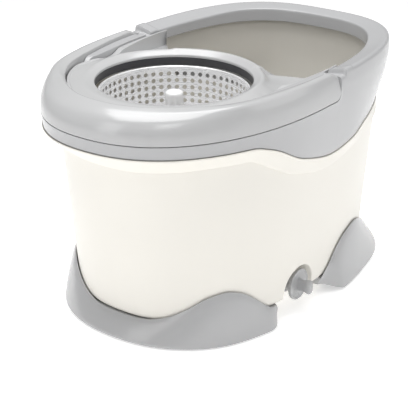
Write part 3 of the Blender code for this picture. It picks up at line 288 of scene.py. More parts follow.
def bake(piece, crease=38):
    """Turn a piece's modifiers into its plain mesh."""
    bpy.context.view_layer.update()
    solid = bpy.data.meshes.new_from_object(
        piece.evaluated_get(bpy.context.evaluated_depsgraph_get()))
    piece.modifiers.clear()
    piece.data = solid
    for face in solid.polygons:
        face.use_smooth = True
    solid.set_sharp_from_angle(angle=math.radians(crease))
    return piece


def carve(piece, tool, operation="DIFFERENCE"):
    """Cut or join a piece with a tool, which is then thrown away."""
    step = piece.modifiers.new("carve", "BOOLEAN")
    step.operation = operation
    step.solver = "EXACT"
    step.object = tool
    bake(piece)
    bpy.data.objects.remove(tool, do_unlink=True)


def rod(name, start, end, radius, segments=32):
    start, end = Vector(start), Vector(end)
    axis = end - start
    place = Matrix.Translation((start + end) / 2) @ axis.to_track_quat("Z", "Y").to_matrix().to_4x4()
    bm = bmesh.new()
    bmesh.ops.create_cone(bm, cap_ends=True, segments=segments, radius1=radius, radius2=radius,
                          depth=axis.length, matrix=place)
    mesh = bpy.data.meshes.new(name)
    bm.to_mesh(mesh)
    bm.free()
    return add_piece(name, mesh, None)


def shader_group(name, inputs, outputs):
    """An empty shader node group with its named sockets."""
    group = bpy.data.node_groups.new(name, "ShaderNodeTree")
    for label, kind, value in inputs:
        socket = group.interface.new_socket(name=label, in_out="INPUT", socket_type=kind)
        socket.default_value = value
    for label, kind in outputs:
        group.interface.new_socket(name=label, in_out="OUTPUT", socket_type=kind)
    return group, group.nodes.new("NodeGroupInput"), group.nodes.new("NodeGroupOutput")


def noise_node(tree, vector, scale, detail=2.0, roughness=0.5):
    node = tree.nodes.new("ShaderNodeTexNoise")
    node.inputs["Detail"].default_value = detail
    node.inputs["Roughness"].default_value = roughness
    if isinstance(scale, (int, float)):
        node.inputs["Scale"].default_value = scale
    else:
        tree.links.new(scale, node.inputs["Scale"])
    tree.links.new(vector, node.inputs["Vector"])
    return node.outputs["Fac"]


def math_node(tree, operation, first, second=None):
    node = tree.nodes.new("ShaderNodeMath")
    node.operation = operation
    for socket, value in zip(node.inputs, (first, second)):
        if value is None:
            continue
        if isinstance(value, (int, float)):
            socket.default_value = value
        else:
            tree.links.new(value, socket)
    return node.outputs[0]


def remap_node(tree, value, from_low, from_high, to_low, to_high):
    node = tree.nodes.new("ShaderNodeMapRange")
    tree.links.new(value, node.inputs["Value"])
    for label, limit in (("From Min", from_low), ("From Max", from_high),
                         ("To Min", to_low), ("To Max", to_high)):
        if isinstance(limit, (int, float)):
            node.inputs[label].default_value = limit
        else:
            tree.links.new(limit, node.inputs[label])
    return node.outputs["Result"]


# The moulded skin: faint flow clouds in the colour, a fine spark-eroded grain,
# and hair-thin handling marks that only show in the gloss.
moulded, take, give = shader_group(
    "moulded_skin",
    (("Colour", "NodeSocketColor", (0.8, 0.8, 0.8, 1.0)), ("Clouds", "NodeSocketFloat", 0.03),
     ("Gloss", "NodeSocketFloat", 0.35), ("Grain Scale", "NodeSocketFloat", 1400.0),
     ("Grain", "NodeSocketFloat", 0.12), ("Marks", "NodeSocketFloat", 0.05)),
    (("Colour", "NodeSocketColor"), ("Roughness", "NodeSocketFloat"), ("Normal", "NodeSocketVector")))
place = moulded.nodes.new("ShaderNodeTexCoord").outputs["Object"]
clouds = noise_node(moulded, place, 11.0, 3.0)
streak_map = moulded.nodes.new("ShaderNodeMapping")
streak_map.inputs["Scale"].default_value = (1.0, 1.0, 0.16)
moulded.links.new(place, streak_map.inputs["Vector"])
streaks = noise_node(moulded, streak_map.outputs["Vector"], 70.0, 4.0)
tone = math_node(moulded, "ADD", math_node(moulded, "SUBTRACT", clouds, 0.5),
                 math_node(moulded, "MULTIPLY", math_node(moulded, "SUBTRACT", streaks, 0.5), 0.35))
tone = math_node(moulded, "ADD", math_node(moulded, "MULTIPLY", tone, take.outputs["Clouds"]), 1.0)
tinted = moulded.nodes.new("ShaderNodeVectorMath")
tinted.operation = "SCALE"
moulded.links.new(take.outputs["Colour"], tinted.inputs[0])
moulded.links.new(tone, tinted.inputs["Scale"])
moulded.links.new(tinted.outputs["Vector"], give.inputs["Colour"])
mark_map = moulded.nodes.new("ShaderNodeMapping")
mark_map.inputs["Scale"].default_value = (1.0, 0.25, 1.0)
mark_map.inputs["Rotation"].default_value = (0.4, 0.3, 0.7)
moulded.links.new(place, mark_map.inputs["Vector"])
marks = remap_node(moulded, noise_node(moulded, mark_map.outputs["Vector"], 210.0, 6.0, 0.65),
                   0.56, 0.70, 0.0, 1.0)
haze = math_node(moulded, "MULTIPLY", marks, take.outputs["Marks"])
haze = math_node(moulded, "ADD", haze, math_node(moulded, "MULTIPLY", clouds, 0.06))
moulded.links.new(math_node(moulded, "ADD", take.outputs["Gloss"], haze), give.inputs["Roughness"])
grain = noise_node(moulded, place, take.outputs["Grain Scale"], 2.0)
grain_bump = moulded.nodes.new("ShaderNodeBump")
grain_bump.inputs["Distance"].default_value = 0.0002
moulded.links.new(take.outputs["Grain"], grain_bump.inputs["Strength"])
moulded.links.new(grain, grain_bump.inputs["Height"])
moulded.links.new(grain_bump.outputs["Normal"], give.inputs["Normal"])


def moulded_plastic(name, colour, gloss, clouds=0.03, grain=0.12, grain_scale=1400.0, marks=0.05,
                    coat=0.0, level=0.5):
    """A plastic material that wears the moulded skin."""
    finish = bpy.data.materials.new(name)
    finish.use_nodes = True
    tree = finish.node_tree
    shader = tree.nodes["Principled BSDF"]
    shader.inputs["IOR"].default_value = 1.49
    shader.inputs["Specular IOR Level"].default_value = level
    shader.inputs["Coat Weight"].default_value = coat
    shader.inputs["Coat Roughness"].default_value = 0.12
    use = tree.nodes.new("ShaderNodeGroup")
    use.node_tree = moulded
    use.inputs["Colour"].default_value = (*colour, 1.0)
    for label, value in (("Clouds", clouds), ("Gloss", gloss), ("Grain Scale", grain_scale),
                         ("Grain", grain), ("Marks", marks)):
        use.inputs[label].default_value = value
    tree.links.new(use.outputs["Colour"], shader.inputs["Base Color"])
    tree.links.new(use.outputs["Roughness"], shader.inputs["Roughness"])
    tree.links.new(use.outputs["Normal"], shader.inputs["Normal"])
    return finish


def paint_shade_along(finish, direction, low, high, darkest):
    """Paints shade into a finish's colour along a direction: darker deep down and under the cover."""
    tree = finish.node_tree
    shader = tree.nodes["Principled BSDF"]
    source = shader.inputs["Base Color"].links[0].from_socket
    place = tree.nodes.new("ShaderNodeTexCoord")
    depth = tree.nodes.new("ShaderNodeVectorMath")
    depth.operation = "DOT_PRODUCT"
    depth.inputs[1].default_value = direction
    tree.links.new(place.outputs["Object"], depth.inputs[0])
    share = remap_node(tree, depth.outputs["Value"], low, high, darkest, 1.0)
    share.node.interpolation_type = "SMOOTHSTEP"
    # the painted shade: the base colour is scaled down where the surface lies deep and under the cover
    darker = tree.nodes.new("ShaderNodeVectorMath")
    darker.operation = "SCALE"
    tree.links.new(source, darker.inputs[0])
    tree.links.new(share, darker.inputs["Scale"])
    tree.links.new(darker.outputs[0], shader.inputs["Base Color"])


cream = moulded_plastic("cream_moulding", (0.855, 0.830, 0.770), 0.30, 0.025, 0.06, 1500.0)
# The inside is the same cream moulding as the outside, given a darker copy of its colour and painted shade
# that deepens downwards and towards the basket end under the cover.
cream_inside_painted_shade = moulded_plastic("cream_inside_painted_shade", (0.80, 0.775, 0.715), 0.34, 0.03, 0.08, 1500.0)
paint_shade_along(cream_inside_painted_shade, (1.0, 0.0, 0.9), 0.060, 0.200, 0.45)


def tub_rim_z(x):
    return 0.2325 + 0.0265 * ease(x, handle_end_x + 0.022, handle_end_x + 0.045)


def tub_path(t):
    """The wall at a station: from under the floor, over the rim and back inside."""
    nominal = rim_point(t, 0.0)[0]
    edge, band = flow(nominal, trim_edge), flow(nominal, band_edge)
    face = skirt_inset(nominal, edge)
    bead = face - bead_proud
    shoulder = face + trim_wall + fit + 0.0002
    top = tub_rim_z(nominal)

    def wall(z, offset=0.0):
        return (*plan_point(t, tub_insets(z, offset)), z)

    def rim(inset, z):
        return (*rim_point(t, inset), z)
    under = (*plan_point(t, tub_insets(tub_floor_z, 0.030)), tub_floor_z)
    inside = (*plan_point(t, tub_insets(floor_top_z, 0.034)), floor_top_z)
    outer = soften([
        (under, 0, 4), (wall(tub_floor_z), 0.0055, 5), (wall(0.070), 0.01, 5),
        (wall(0.115), 0.01, 8), (wall(band - 0.0008), 0.0006, 2), (wall(band, -0.0021), 0.0006, 6),
        (rim(bead + 0.0012, edge - 0.0030), 0.0006, 2), (rim(bead, edge - 0.0026), 0.0006, 2),
        (rim(bead, edge - fit), 0.0009, 2), (rim(shoulder, edge - fit), 0.0003, 3),
        (rim(shoulder, top), 0, 1)], closed=False)
    inner = soften([
        (rim(shoulder + tub_wall, top), 0, 4), (rim(shoulder + tub_wall, edge + 0.0015), 0.008, 6),
        (wall(band - 0.002, tub_wall), 0.010, 6), (wall(0.115, tub_wall), 0.01, 5),
        (wall(0.070, tub_wall), 0.01, 5), (wall(floor_top_z, tub_wall), 0.010, 4),
        (inside, 0, 1)], closed=False)
    return outer, inner


def tub_wall_y(x, z):
    """Outer face of the near wall."""
    insets = tub_insets(z)
    if x < waist_x:
        t = math.pi - math.acos(((waist_x - x) / (length / 2 + waist_x - insets[0])) ** 1.125)
    else:
        t = math.acos(((x - waist_x) / (length / 2 - waist_x - insets[1])) ** 1.45)
    return -plan_point(t, insets)[1]


alcove_y = tub_wall_y(drain_x, drain_z) + 0.021


def arch_ring(grown, depth, back=None, bottom_z=0.012):
    """Outline of the alcove, grown by an amount, at a depth behind the wall or a fixed y."""
    spring = notch_top_z - notch_half_width
    ring = []
    for side in (-1, 1):
        leg = []
        for z in np.linspace(bottom_z, spring - 0.001, 9):
            flare = grown * (1 + 2.4 * ease(z, 0.037, 0.022)) if grown > 0 else grown
            leg.append((side * (notch_half_width + flare), z))
        ring += leg if side < 0 else list(reversed(leg))
        if side < 0:
            radius = notch_half_width + grown
            ring += [(radius * math.cos(a), spring + radius * math.sin(a))
                     for a in np.linspace(math.pi, 0.0, 41)]
    points = []
    for u, z in ring:
        x = notch_x + u
        y = back if back is not None else tub_wall_y(x, max(z, tub_floor_z + 0.004)) + depth
        points.append((x, y, z))
    return points


tub_paths = [tub_path(t) for t in both_sides(even_stations(150))]
outer_rings = list(zip(*[outer for outer, _ in tub_paths]))
inner_rings = list(zip(*[inner for _, inner in tub_paths]))
tub = skin("tub_moulding", outer_rings + inner_rings, False)
hull = skin("tub_hull", outer_rings, False)
boss_block = skin("alcove_wall", [
    arch_ring(tub_wall, -0.004, bottom_z=tub_floor_z + 0.0005),
    arch_ring(tub_wall, 0, alcove_y - 0.002, tub_floor_z + 0.0005),
    arch_ring(tub_wall, 0, alcove_y, tub_floor_z + 0.0005),
    arch_ring(tub_wall - 0.0008, 0, alcove_y + tub_wall - 0.0008, tub_floor_z + 0.0005),
    arch_ring(tub_wall - 0.0024, 0, alcove_y + tub_wall, tub_floor_z + 0.0005)], False)
carve(boss_block, hull, "INTERSECT")
carve(tub, boss_block, "UNION")
edge_round, back_round = 0.0013, 0.0035
cut = [arch_ring(edge_round, -0.010)]
cut += [arch_ring(edge_round * (1 - math.sin(a)), edge_round * (1 - math.cos(a)))
        for a in np.linspace(0.0, math.pi / 2, 6)]
cut += [arch_ring(-back_round * (1 - math.cos(a)), 0, alcove_y - back_round * (1 - math.sin(a)))
        for a in np.linspace(0.0, math.pi / 2, 6)]
carve(tub, skin("alcove_cut", cut, False))
for turn in (90, 210, 330):
    x = spin_x + 0.028 * math.cos(math.radians(turn))
    y = 0.028 * math.sin(math.radians(turn))
    carve(tub, rod("boss", (x, y, floor_top_z - 0.001), (x, y, floor_top_z + 0.010), 0.005), "UNION")
    carve(tub, rod("boss_bore", (x, y, floor_top_z + 0.0005), (x, y, floor_top_z + 0.013), 0.0022, 20))
carve(tub, rod("spout_hole", (drain_x, alcove_y - 0.004, drain_z),
               (drain_x, alcove_y + tub_wall + 0.004, drain_z), 0.0058))
tub.data.materials.clear()
tub.data.materials.append(cream)
tub.data.materials.append(cream_inside_painted_shade)
# Faces turned into the tub and its inner floor take the inside finish, which carries the painted shade.
for face in tub.data.polygons:
    x, y, z = face.center
    away = math.hypot(x - waist_x, y) or 1.0
    inwards = -(face.normal.x * (x - waist_x) + face.normal.y * y) / away
    face.material_index = int(floor_top_z - 0.001 < z < 0.245 and (inwards > 0.3 or face.normal.z > 0.7))
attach(tub, "bucket")
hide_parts("bucket_tub")


# ---------------------------------------------------------------------------
# Rim trim: a grey polypropylene frame clipped over the tub's edge. At the basket end it
# drops to a ledge that the handle lies on; past the handle's ends a low trough and a
# raised step lead onto the rounded pouring rim, whose inner wall hangs into the tub.
# ---------------------------------------------------------------------------
seam_z = 0.238
rim_top_width, rim_inner_drop = 0.0235, 0.0062
trim_grey = moulded_plastic("grey_moulding", (0.465, 0.467, 0.475), 0.22, 0.03, 0.05, marks=0.012, coat=0.3)


def handle_width(x):
    """The handle is slim at its ends and broad round the basket end."""
    return 0.0135 + 0.0055 * ease(x, 0.010, -0.090) + 0.010 * ease(x, -0.120, -0.222)


def deck_inset(x):
    """The cover's edge: along the handle at the basket end, then along the trim."""
    side = 0.0266 + 0.0034 * ease(x, 0.010, -0.060)
    return side + (handle_width(x) + 0.0014 - side) * ease(x, -0.075, -0.125)


def handle_low(x):
    past = min(max(x - (handle_end_x - 0.008), 0.0), 0.008)
    return seam_z + 0.008 - math.sqrt(0.008 ** 2 - past ** 2)


def pour_path(x, edge):
    """Trim section away from the handle: skirt, rounded rim, sloping top, inner wall."""
    crown = 0.2632 + 0.0068 * ease(x, handle_end_x + 0.0098, handle_end_x + 0.0116)
    crown -= 0.0010 * ease(x, handle_end_x + 0.0235, handle_end_x + 0.0265)
    wide = rim_top_width
    inner = crown - rim_inner_drop * (1 - 0.4 * ease(x, 0.12, 0.20))
    if x < handle_end_x + 0.012:
        inner = max(inner, 0.2600)
    tuck, middle = skirt_inset(x, edge), skirt_inset(x, 0.234)
    return [((tuck, edge), 0.0008, 4), ((middle, 0.234), 0.006, 4), ((0.0, 0.2530), 0.004, 3),
            ((0.0008, crown), 0.0056, 7), ((wide, inner), 0.0022, 5),
            ((wide + 0.0012, 0.250), 0.0006, 1), ((wide - 0.0010, 0.250), 0.0004, 2),
            ((wide - 0.0022, inner - 0.0030), 0.0010, 3), ((trim_wall, crown - 0.0036), 0.004, 3),
            ((trim_wall, 0.2500), 0.002, 2), ((trim_wall, 0.2450), 0.002, 2),
            ((trim_wall + middle, 0.232), 0.004, 3), ((trim_wall + tuck, edge), 0.0004, 1)]


def recess_path(x, edge):
    """Trim section under the handle: skirt, ledge, riser and the strip beside the cover."""
    ledge = handle_low(x) - 0.0007
    riser = handle_width(x) + fit
    inner = riser + max(0.0032, deck_inset(x) - handle_width(x) - 3 * fit)
    top = 0.2495 + 0.0143 * ease(x, -0.116, -0.090)
    low = min(0.250, top - 0.006)
    web = min(riser + 0.0018, inner - 0.0008)
    tuck = skirt_inset(x, edge)
    return [((tuck, edge), 0.0008, 4), ((skirt_inset(x, 0.230), 0.230), 0.004, 4),
            ((0.0, ledge), 0.0007, 3), ((riser, ledge), 0.0008, 7), ((riser, top), 0.0010, 5),
            ((inner, top), 0.0010, 1), ((inner, low), 0.0004, 2),
            ((inner - 0.0010, low), 0.0003, 3), ((inner - 0.0012, top - 0.0036), 0.0004, 3),
            ((web, top - 0.0036), 0.0003, 2), ((web, seam_z - 0.0029), 0.0004, 2),
            ((trim_wall, seam_z - 0.0029), 0.0004, 3), ((trim_wall + tuck, edge), 0.0004, 1)]


def placed(t, path):
    """A section path of (inset, z) corners, put at its station and rounded."""
    return soften([((*rim_point(t, inset), z), radius, pieces)
                   for (inset, z), radius, pieces in path], closed=True)


def with_extras(plain, xs):
    """Even stations on the +Y side plus the ones at given x."""
    extra = [parameter_at(x) for x in xs]
    return sorted([t for t in plain if min(abs(t - s) for s in extra) > 0.006] + extra)


end_xs = [handle_end_x - 0.008 * share for share in (0.0, 0.01, 0.04, 0.10, 0.19, 0.31, 0.46, 0.66, 1.0)]
step_xs = [handle_end_x + fit] + [handle_end_x + extra for extra in (
    0.0050, 0.0096, 0.0102, 0.0107, 0.0112, 0.0118, 0.0150, 0.0234, 0.0242, 0.0250, 0.0258, 0.0266)]
trim_sections = []
for t in both_sides(with_extras(even_stations(150), end_xs + step_xs)):
    x = rim_point(t, 0.0)[0]
    path = recess_path if x < handle_end_x + fit / 2 else pour_path
    trim_sections.append(placed(t, path(x, flow(x, trim_edge))))
trim = skin("rim_trim_moulding", trim_sections, True, trim_grey)
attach(trim, "bucket")
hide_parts("rim_trim")


# ---------------------------------------------------------------------------
# Carry handle: a light grey U with a thick outer wall, open underneath. It lies on the
# trim's ledge, sweeps broad and sloping round the basket end, and swings on two steel pins.
# ---------------------------------------------------------------------------
handle_grey = moulded_plastic("light_grey_moulding", (0.505, 0.507, 0.511), 0.20, 0.025, 0.05,
                              marks=0.012, coat=0.4)
handle_wall = 0.0028


def handle_path(x):
    low, wide = handle_low(x), handle_width(x)
    bow = ease(x, -0.130, -0.222)
    past = min(max(x - (handle_end_x - 0.0022), 0.0), 0.0022)
    top = 0.2698 - 0.0056 * ease(x, 0.003, 0.020) - 0.0022 + math.sqrt(0.0022 ** 2 - past ** 2)
    crest = min(0.0095 + 0.021 * bow, wide - 0.0030)
    under = top - handle_wall

    def above(z):
        return max(low + 0.0008, z)
    return [((0.0, low), 0.0009, 5), ((0.0, above(top - 0.0190)), 0.006, 3),
            ((0.0020 + 0.005 * bow, above(top - 0.0078)), 0.005, 3),
            ((0.0048 + 0.0125 * bow, top - 0.0012 - 0.0016 * bow), 0.0032, 3),
            ((crest, top), 0.003, 3), ((wide, top - 0.0022), 0.0014, 4), ((wide, low), 0.0005, 1),
            ((wide - handle_wall, low), 0.0004, 3),
            ((wide - handle_wall, above(under - 0.0024)), 0.0010, 3),
            ((crest, above(under)), 0.002, 2),
            ((handle_wall + 0.0030 + 0.0125 * bow, above(under - 0.0030)), 0.002, 3),
            ((handle_wall, above(under - 0.0190)), 0.004, 3), ((handle_wall, low), 0.0004, 1)]


side = [t for t in with_extras(even_stations(150), end_xs) if rim_point(t, 0.0)[0] <= handle_end_x + 1e-7]
handle_sections = [placed(t, handle_path(rim_point(t, 0.0)[0]))
                   for t in side + [2 * math.pi - t for t in reversed(side[:-1])]]
handle = skin("carry_handle_moulding", handle_sections, False, handle_grey)
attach(handle, "handle")
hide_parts("carry_handle")


# ---------------------------------------------------------------------------
# Pins: short turned steel dowels pressed through the trim into the handle's ends. They
# keep the frame's own shape and get a drawn, slightly scratched finish.
# ---------------------------------------------------------------------------
steel_look, take, give = shader_group(
    "drawn_steel", (("Colour", "NodeSocketColor", (0.8, 0.8, 0.8, 1.0)),
                    ("Gloss", "NodeSocketFloat", 0.1), ("Lines", "NodeSocketFloat", 0.1)),
    (("Colour", "NodeSocketColor"), ("Roughness", "NodeSocketFloat"),
     ("Normal", "NodeSocketVector")))
place = steel_look.nodes.new("ShaderNodeTexCoord").outputs["Object"]
line_map = steel_look.nodes.new("ShaderNodeMapping")
line_map.inputs["Scale"].default_value = (1.0, 1.0, 26.0)
steel_look.links.new(place, line_map.inputs["Vector"])
lines = noise_node(steel_look, line_map.outputs["Vector"], 60.0, 4.0, 0.6)
stain = noise_node(steel_look, place, 34.0, 4.0, 0.55)
shade = math_node(steel_look, "ADD", 0.93, math_node(steel_look, "MULTIPLY", stain, 0.12))
tinted = steel_look.nodes.new("ShaderNodeVectorMath")
tinted.operation = "SCALE"
steel_look.links.new(take.outputs["Colour"], tinted.inputs[0])
steel_look.links.new(shade, tinted.inputs["Scale"])
steel_look.links.new(tinted.outputs["Vector"], give.inputs["Colour"])
rough = math_node(steel_look, "ADD", take.outputs["Gloss"],
                  math_node(steel_look, "MULTIPLY", lines, take.outputs["Lines"]))
rough = math_node(steel_look, "ADD", rough, remap_node(steel_look, stain, 0.55, 0.75, 0.0, 0.10))
steel_look.links.new(rough, give.inputs["Roughness"])
line_bump = steel_look.nodes.new("ShaderNodeBump")
line_bump.inputs["Distance"].default_value = 0.0001
line_bump.inputs["Strength"].default_value = 0.15
steel_look.links.new(lines, line_bump.inputs["Height"])
steel_look.links.new(line_bump.outputs["Normal"], give.inputs["Normal"])


def steel_finish(name, colour, gloss, lines, metallic=1.0):
    finish = bpy.data.materials.new(name)
    finish.use_nodes = True
    tree = finish.node_tree
    shader = tree.nodes["Principled BSDF"]
    shader.inputs["Metallic"].default_value = metallic
    use = tree.nodes.new("ShaderNodeGroup")
    use.node_tree = steel_look
    use.inputs["Colour"].default_value = (*colour, 1.0)
    use.inputs["Gloss"].default_value = gloss
    use.inputs["Lines"].default_value = lines
    tree.links.new(use.outputs["Colour"], shader.inputs["Base Color"])
    tree.links.new(use.outputs["Roughness"], shader.inputs["Roughness"])
    tree.links.new(use.outputs["Normal"], shader.inputs["Normal"])
    return finish


def refinish(node, finish):
    """Give a node that keeps its own shape a better material."""
    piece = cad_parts[node]
    for own in piece.material_slots:
        own.material = finish


bright_steel = steel_finish("bright_steel", (0.98, 0.98, 0.985), 0.22, 0.12, 0.42)
turned_steel = steel_finish("turned_steel", (0.66, 0.66, 0.67), 0.20, 0.22)
for pin in ("handle_pin_near", "handle_pin_far"):
    refinish(pin, turned_steel)


# ---------------------------------------------------------------------------
# Basket cover: one light grey moulding that drops into the trim. A rounded collar rings
# the opening and hangs free on the washing side; decks fall away on either side of it.
# ---------------------------------------------------------------------------
opening_radius, collar_radius, cover_wall = 0.0840, 0.1030, 0.0026
lip_z = 0.2600
flange_start_x, flange_end_x = -0.062, 0.055
liner_radius = opening_radius + 0.0023
cover_grey = moulded_plastic("cover_moulding", (0.515, 0.517, 0.520), 0.21, 0.03, 0.05,
                             marks=0.012, coat=0.4)


def cover_outline():
    """The cover's edge on the +Y side, from the free collar to the basket end."""
    tip_angle = math.radians(35)
    points = [(spin_x + collar_radius * math.cos(a), collar_radius * math.sin(a))
              for a in np.linspace(0.0, tip_angle, 26)]
    tip_t = parameter_at(flange_end_x)
    tip, last = rim_point(tip_t, deck_inset(flange_end_x)), points[-1]
    for share in np.linspace(0.06, 0.94, 14):
        bow = 0.006 * math.sin(math.pi * share)
        points.append((last[0] + (tip[0] - last[0]) * share - bow,
                       last[1] + (tip[1] - last[1]) * share + bow * 0.3))
    for t in [tip_t] + [t for t in even_stations(190) if t > tip_t + 0.01]:
        points.append(rim_point(t, deck_inset(rim_point(t, 0)[0])))
    return points


def cover_path(x, y):
    """Section on the line from the basket's axis to a point of the edge."""
    reach = math.hypot(x - spin_x, y)
    free = ease(reach, collar_radius + 0.022, collar_radius + 0.002) * ease(x, -0.080, -0.060)
    crown = 0.2615 + 0.0045 * ease(x, -0.150, -0.040)
    deck = 0.2605 - 0.0165 * ease(x, -0.090, 0.035)
    deck = deck * (1 - free) + (crown - 0.0075) * free
    band = 0.0028 + 0.0070 * ease(x, 0.045, -0.045) * ease(x, -0.075, -0.055) * (1 - free)
    stand = ease(x, flange_start_x, flange_start_x + 0.03) * (1 - free)
    if flange_start_x < x < flange_end_x + 0.001:
        beside = rim_point(parameter_at(min(x, flange_end_x)), deck_inset(x))[1]
        stand *= ease(abs(y), beside - 0.008, beside - 0.001)
    lip = 0.0008 * (1 - free)
    flange = max(deck + lip, deck + max(0.0, 0.2618 - deck) * stand)
    low = min(deck - 0.0045, lip_z - 0.0045) - 0.0255 * free
    crest = opening_radius + min(0.0098, (reach - opening_radius) * 0.45)
    slope = crown - deck
    seat = liner_radius + fit
    roof = min(deck, lip_z) - cover_wall - 0.0012
    path = [((opening_radius, lip_z - cover_wall), 0.0003, 2), ((opening_radius, lip_z), 0.0012, 3),
            ((crest, crown), 0.0055, 3),
            ((min(crest + 0.0055, reach - band - 0.0024), crown - slope * 0.40), 0.0050, 6),
            ((reach - band - 0.0008, deck + 0.0006 * free), 0.0012, 3),
            ((reach - band, flange + 0.0002 * free), 0.0005, 2),
            ((reach, flange - 0.0022 * free), 0.0009 + 0.0030 * free, 6), ((reach, low), 0.0008, 2),
            ((reach - cover_wall, low), 0.0008, 4), ((reach - cover_wall, roof), 0.0010, 6),
            ((seat + 0.0025, roof), 0.0008, 2), ((seat + 0.0020, lip_z - 0.0134), 0.0004, 1),
            ((seat, lip_z - 0.0134), 0.0003, 2), ((seat, lip_z - cover_wall), 0.0002, 1)]
    out_x, out_y = (x - spin_x) / reach, y / reach
    return soften([((spin_x + r * out_x, r * out_y, z), radius, pieces)
                   for (r, z), radius, pieces in path], closed=True)


outline = cover_outline()
outline += [(x, -y) for x, y in reversed(outline[1:-1])]
cover = skin("cover_moulding", [cover_path(x, y) for x, y in outline], True, cover_grey)
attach(cover, "cover")
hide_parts("basket_cover")


# ---------------------------------------------------------------------------
# Collar liner: a dark ring snapped under the opening's edge, with a plain inner face left matt.
# ---------------------------------------------------------------------------
liner_dark = moulded_plastic("dark_moulding", (0.050, 0.050, 0.054), 0.42, 0.10, 0.14)


def turned(name, profile, centre, finish, segments=96, closed=True, wave=None):
    """A turned piece from rounded (r, z) corners; an open profile starts and ends on the axis."""
    if closed:
        path = soften([((r, 0.0, z), radius, pieces) for r, z, radius, pieces in profile], True)
        sections = []
        for i in range(segments):
            a = 2 * math.pi * i / segments
            sections.append([(centre[0] + p.x * math.cos(a), centre[1] + p.x * math.sin(a), p.z)
                             for p in path])
        return skin(name, sections, True, finish)
    path = soften([((r, 0.0, z), radius, pieces) for r, z, radius, pieces in profile], False)
    rings = []
    for p in path[1:-1]:
        ring = []
        for i in range(segments):
            a = 2 * math.pi * i / segments
            r = p.x - (wave(a, p.z) if wave else 0.0)
            ring.append((centre[0] + r * math.cos(a), centre[1] + r * math.sin(a), p.z))
        rings.append(ring)
    return skin(name, rings, False, finish)


liner_top = lip_z - cover_wall - fit
liner = turned("liner_ring", [
    (liner_radius, liner_top, 0.0003, 3), (liner_radius, liner_top - 0.0082, 0.0005, 2),
    (opening_radius + 0.0003, liner_top - 0.0082, 0.0005, 6),
    (opening_radius + 0.0003, liner_top, 0.0003, 2)], (spin_x, 0), liner_dark, 160)
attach(liner, "cover")
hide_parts("collar_liner")


# ---------------------------------------------------------------------------
# Spin basket: thin polished stainless steel, drawn to a slight taper and punched with a
# straight grid of round holes under a plain band; its lip is rolled outwards.
# The punched wall is one tile, repeated by nodes and then bent round the axis.
# ---------------------------------------------------------------------------
columns, rows = 56, 12
row_pitch, band_low_z = 0.0077, 0.2440
wall_low_z = band_low_z - rows * row_pitch
hole_radius, sheet = 0.0025, 0.0012
basket_floor_z = 0.1412
column_pitch = 2 * math.pi * 0.0775 / columns


def basket_radius(z):
    return 0.0745 + 0.0047 * (z - 0.1497) / (0.2448 - 0.1497)


def tile_mesh():
    """A flat tile with a round hole, its border split so that tiles meet point to point."""
    bm = bmesh.new()
    hole, border = [], []
    for i in range(16):
        a = 2 * math.pi * i / 16
        c, s = math.cos(a), math.sin(a)
        stretch = 1 / max(abs(c), abs(s))
        hole.append(bm.verts.new((hole_radius * c, hole_radius * s, 0)))
        border.append(bm.verts.new((column_pitch / 2 * c * stretch, row_pitch / 2 * s * stretch, 0)))
    for i in range(16):
        j = (i + 1) % 16
        bm.faces.new((hole[i], border[i], border[j], hole[j]))
    mesh = bpy.data.meshes.new("punched_tile")
    bm.to_mesh(mesh)
    bm.free()
    return mesh


def node_tools(tree):
    """Short ways to add and join nodes of one tree."""
    def add(kind, **settings):
        node = tree.nodes.new(kind)
        for label, value in settings.items():
            setattr(node, label, value)
        return node

    def join(output, socket):
        tree.links.new(output, socket)
    return add, join


def geometry_tree(name, inputs):
    tree = bpy.data.node_groups.new(name, "GeometryNodeTree")
    tree.interface.new_socket(name="Geometry", in_out="INPUT", socket_type="NodeSocketGeometry")
    for label, kind, value in inputs:
        tree.interface.new_socket(name=label, in_out="INPUT", socket_type=kind).default_value = value
    tree.interface.new_socket(name="Geometry", in_out="OUTPUT", socket_type="NodeSocketGeometry")
    return tree, tree.nodes.new("NodeGroupInput"), tree.nodes.new("NodeGroupOutput")


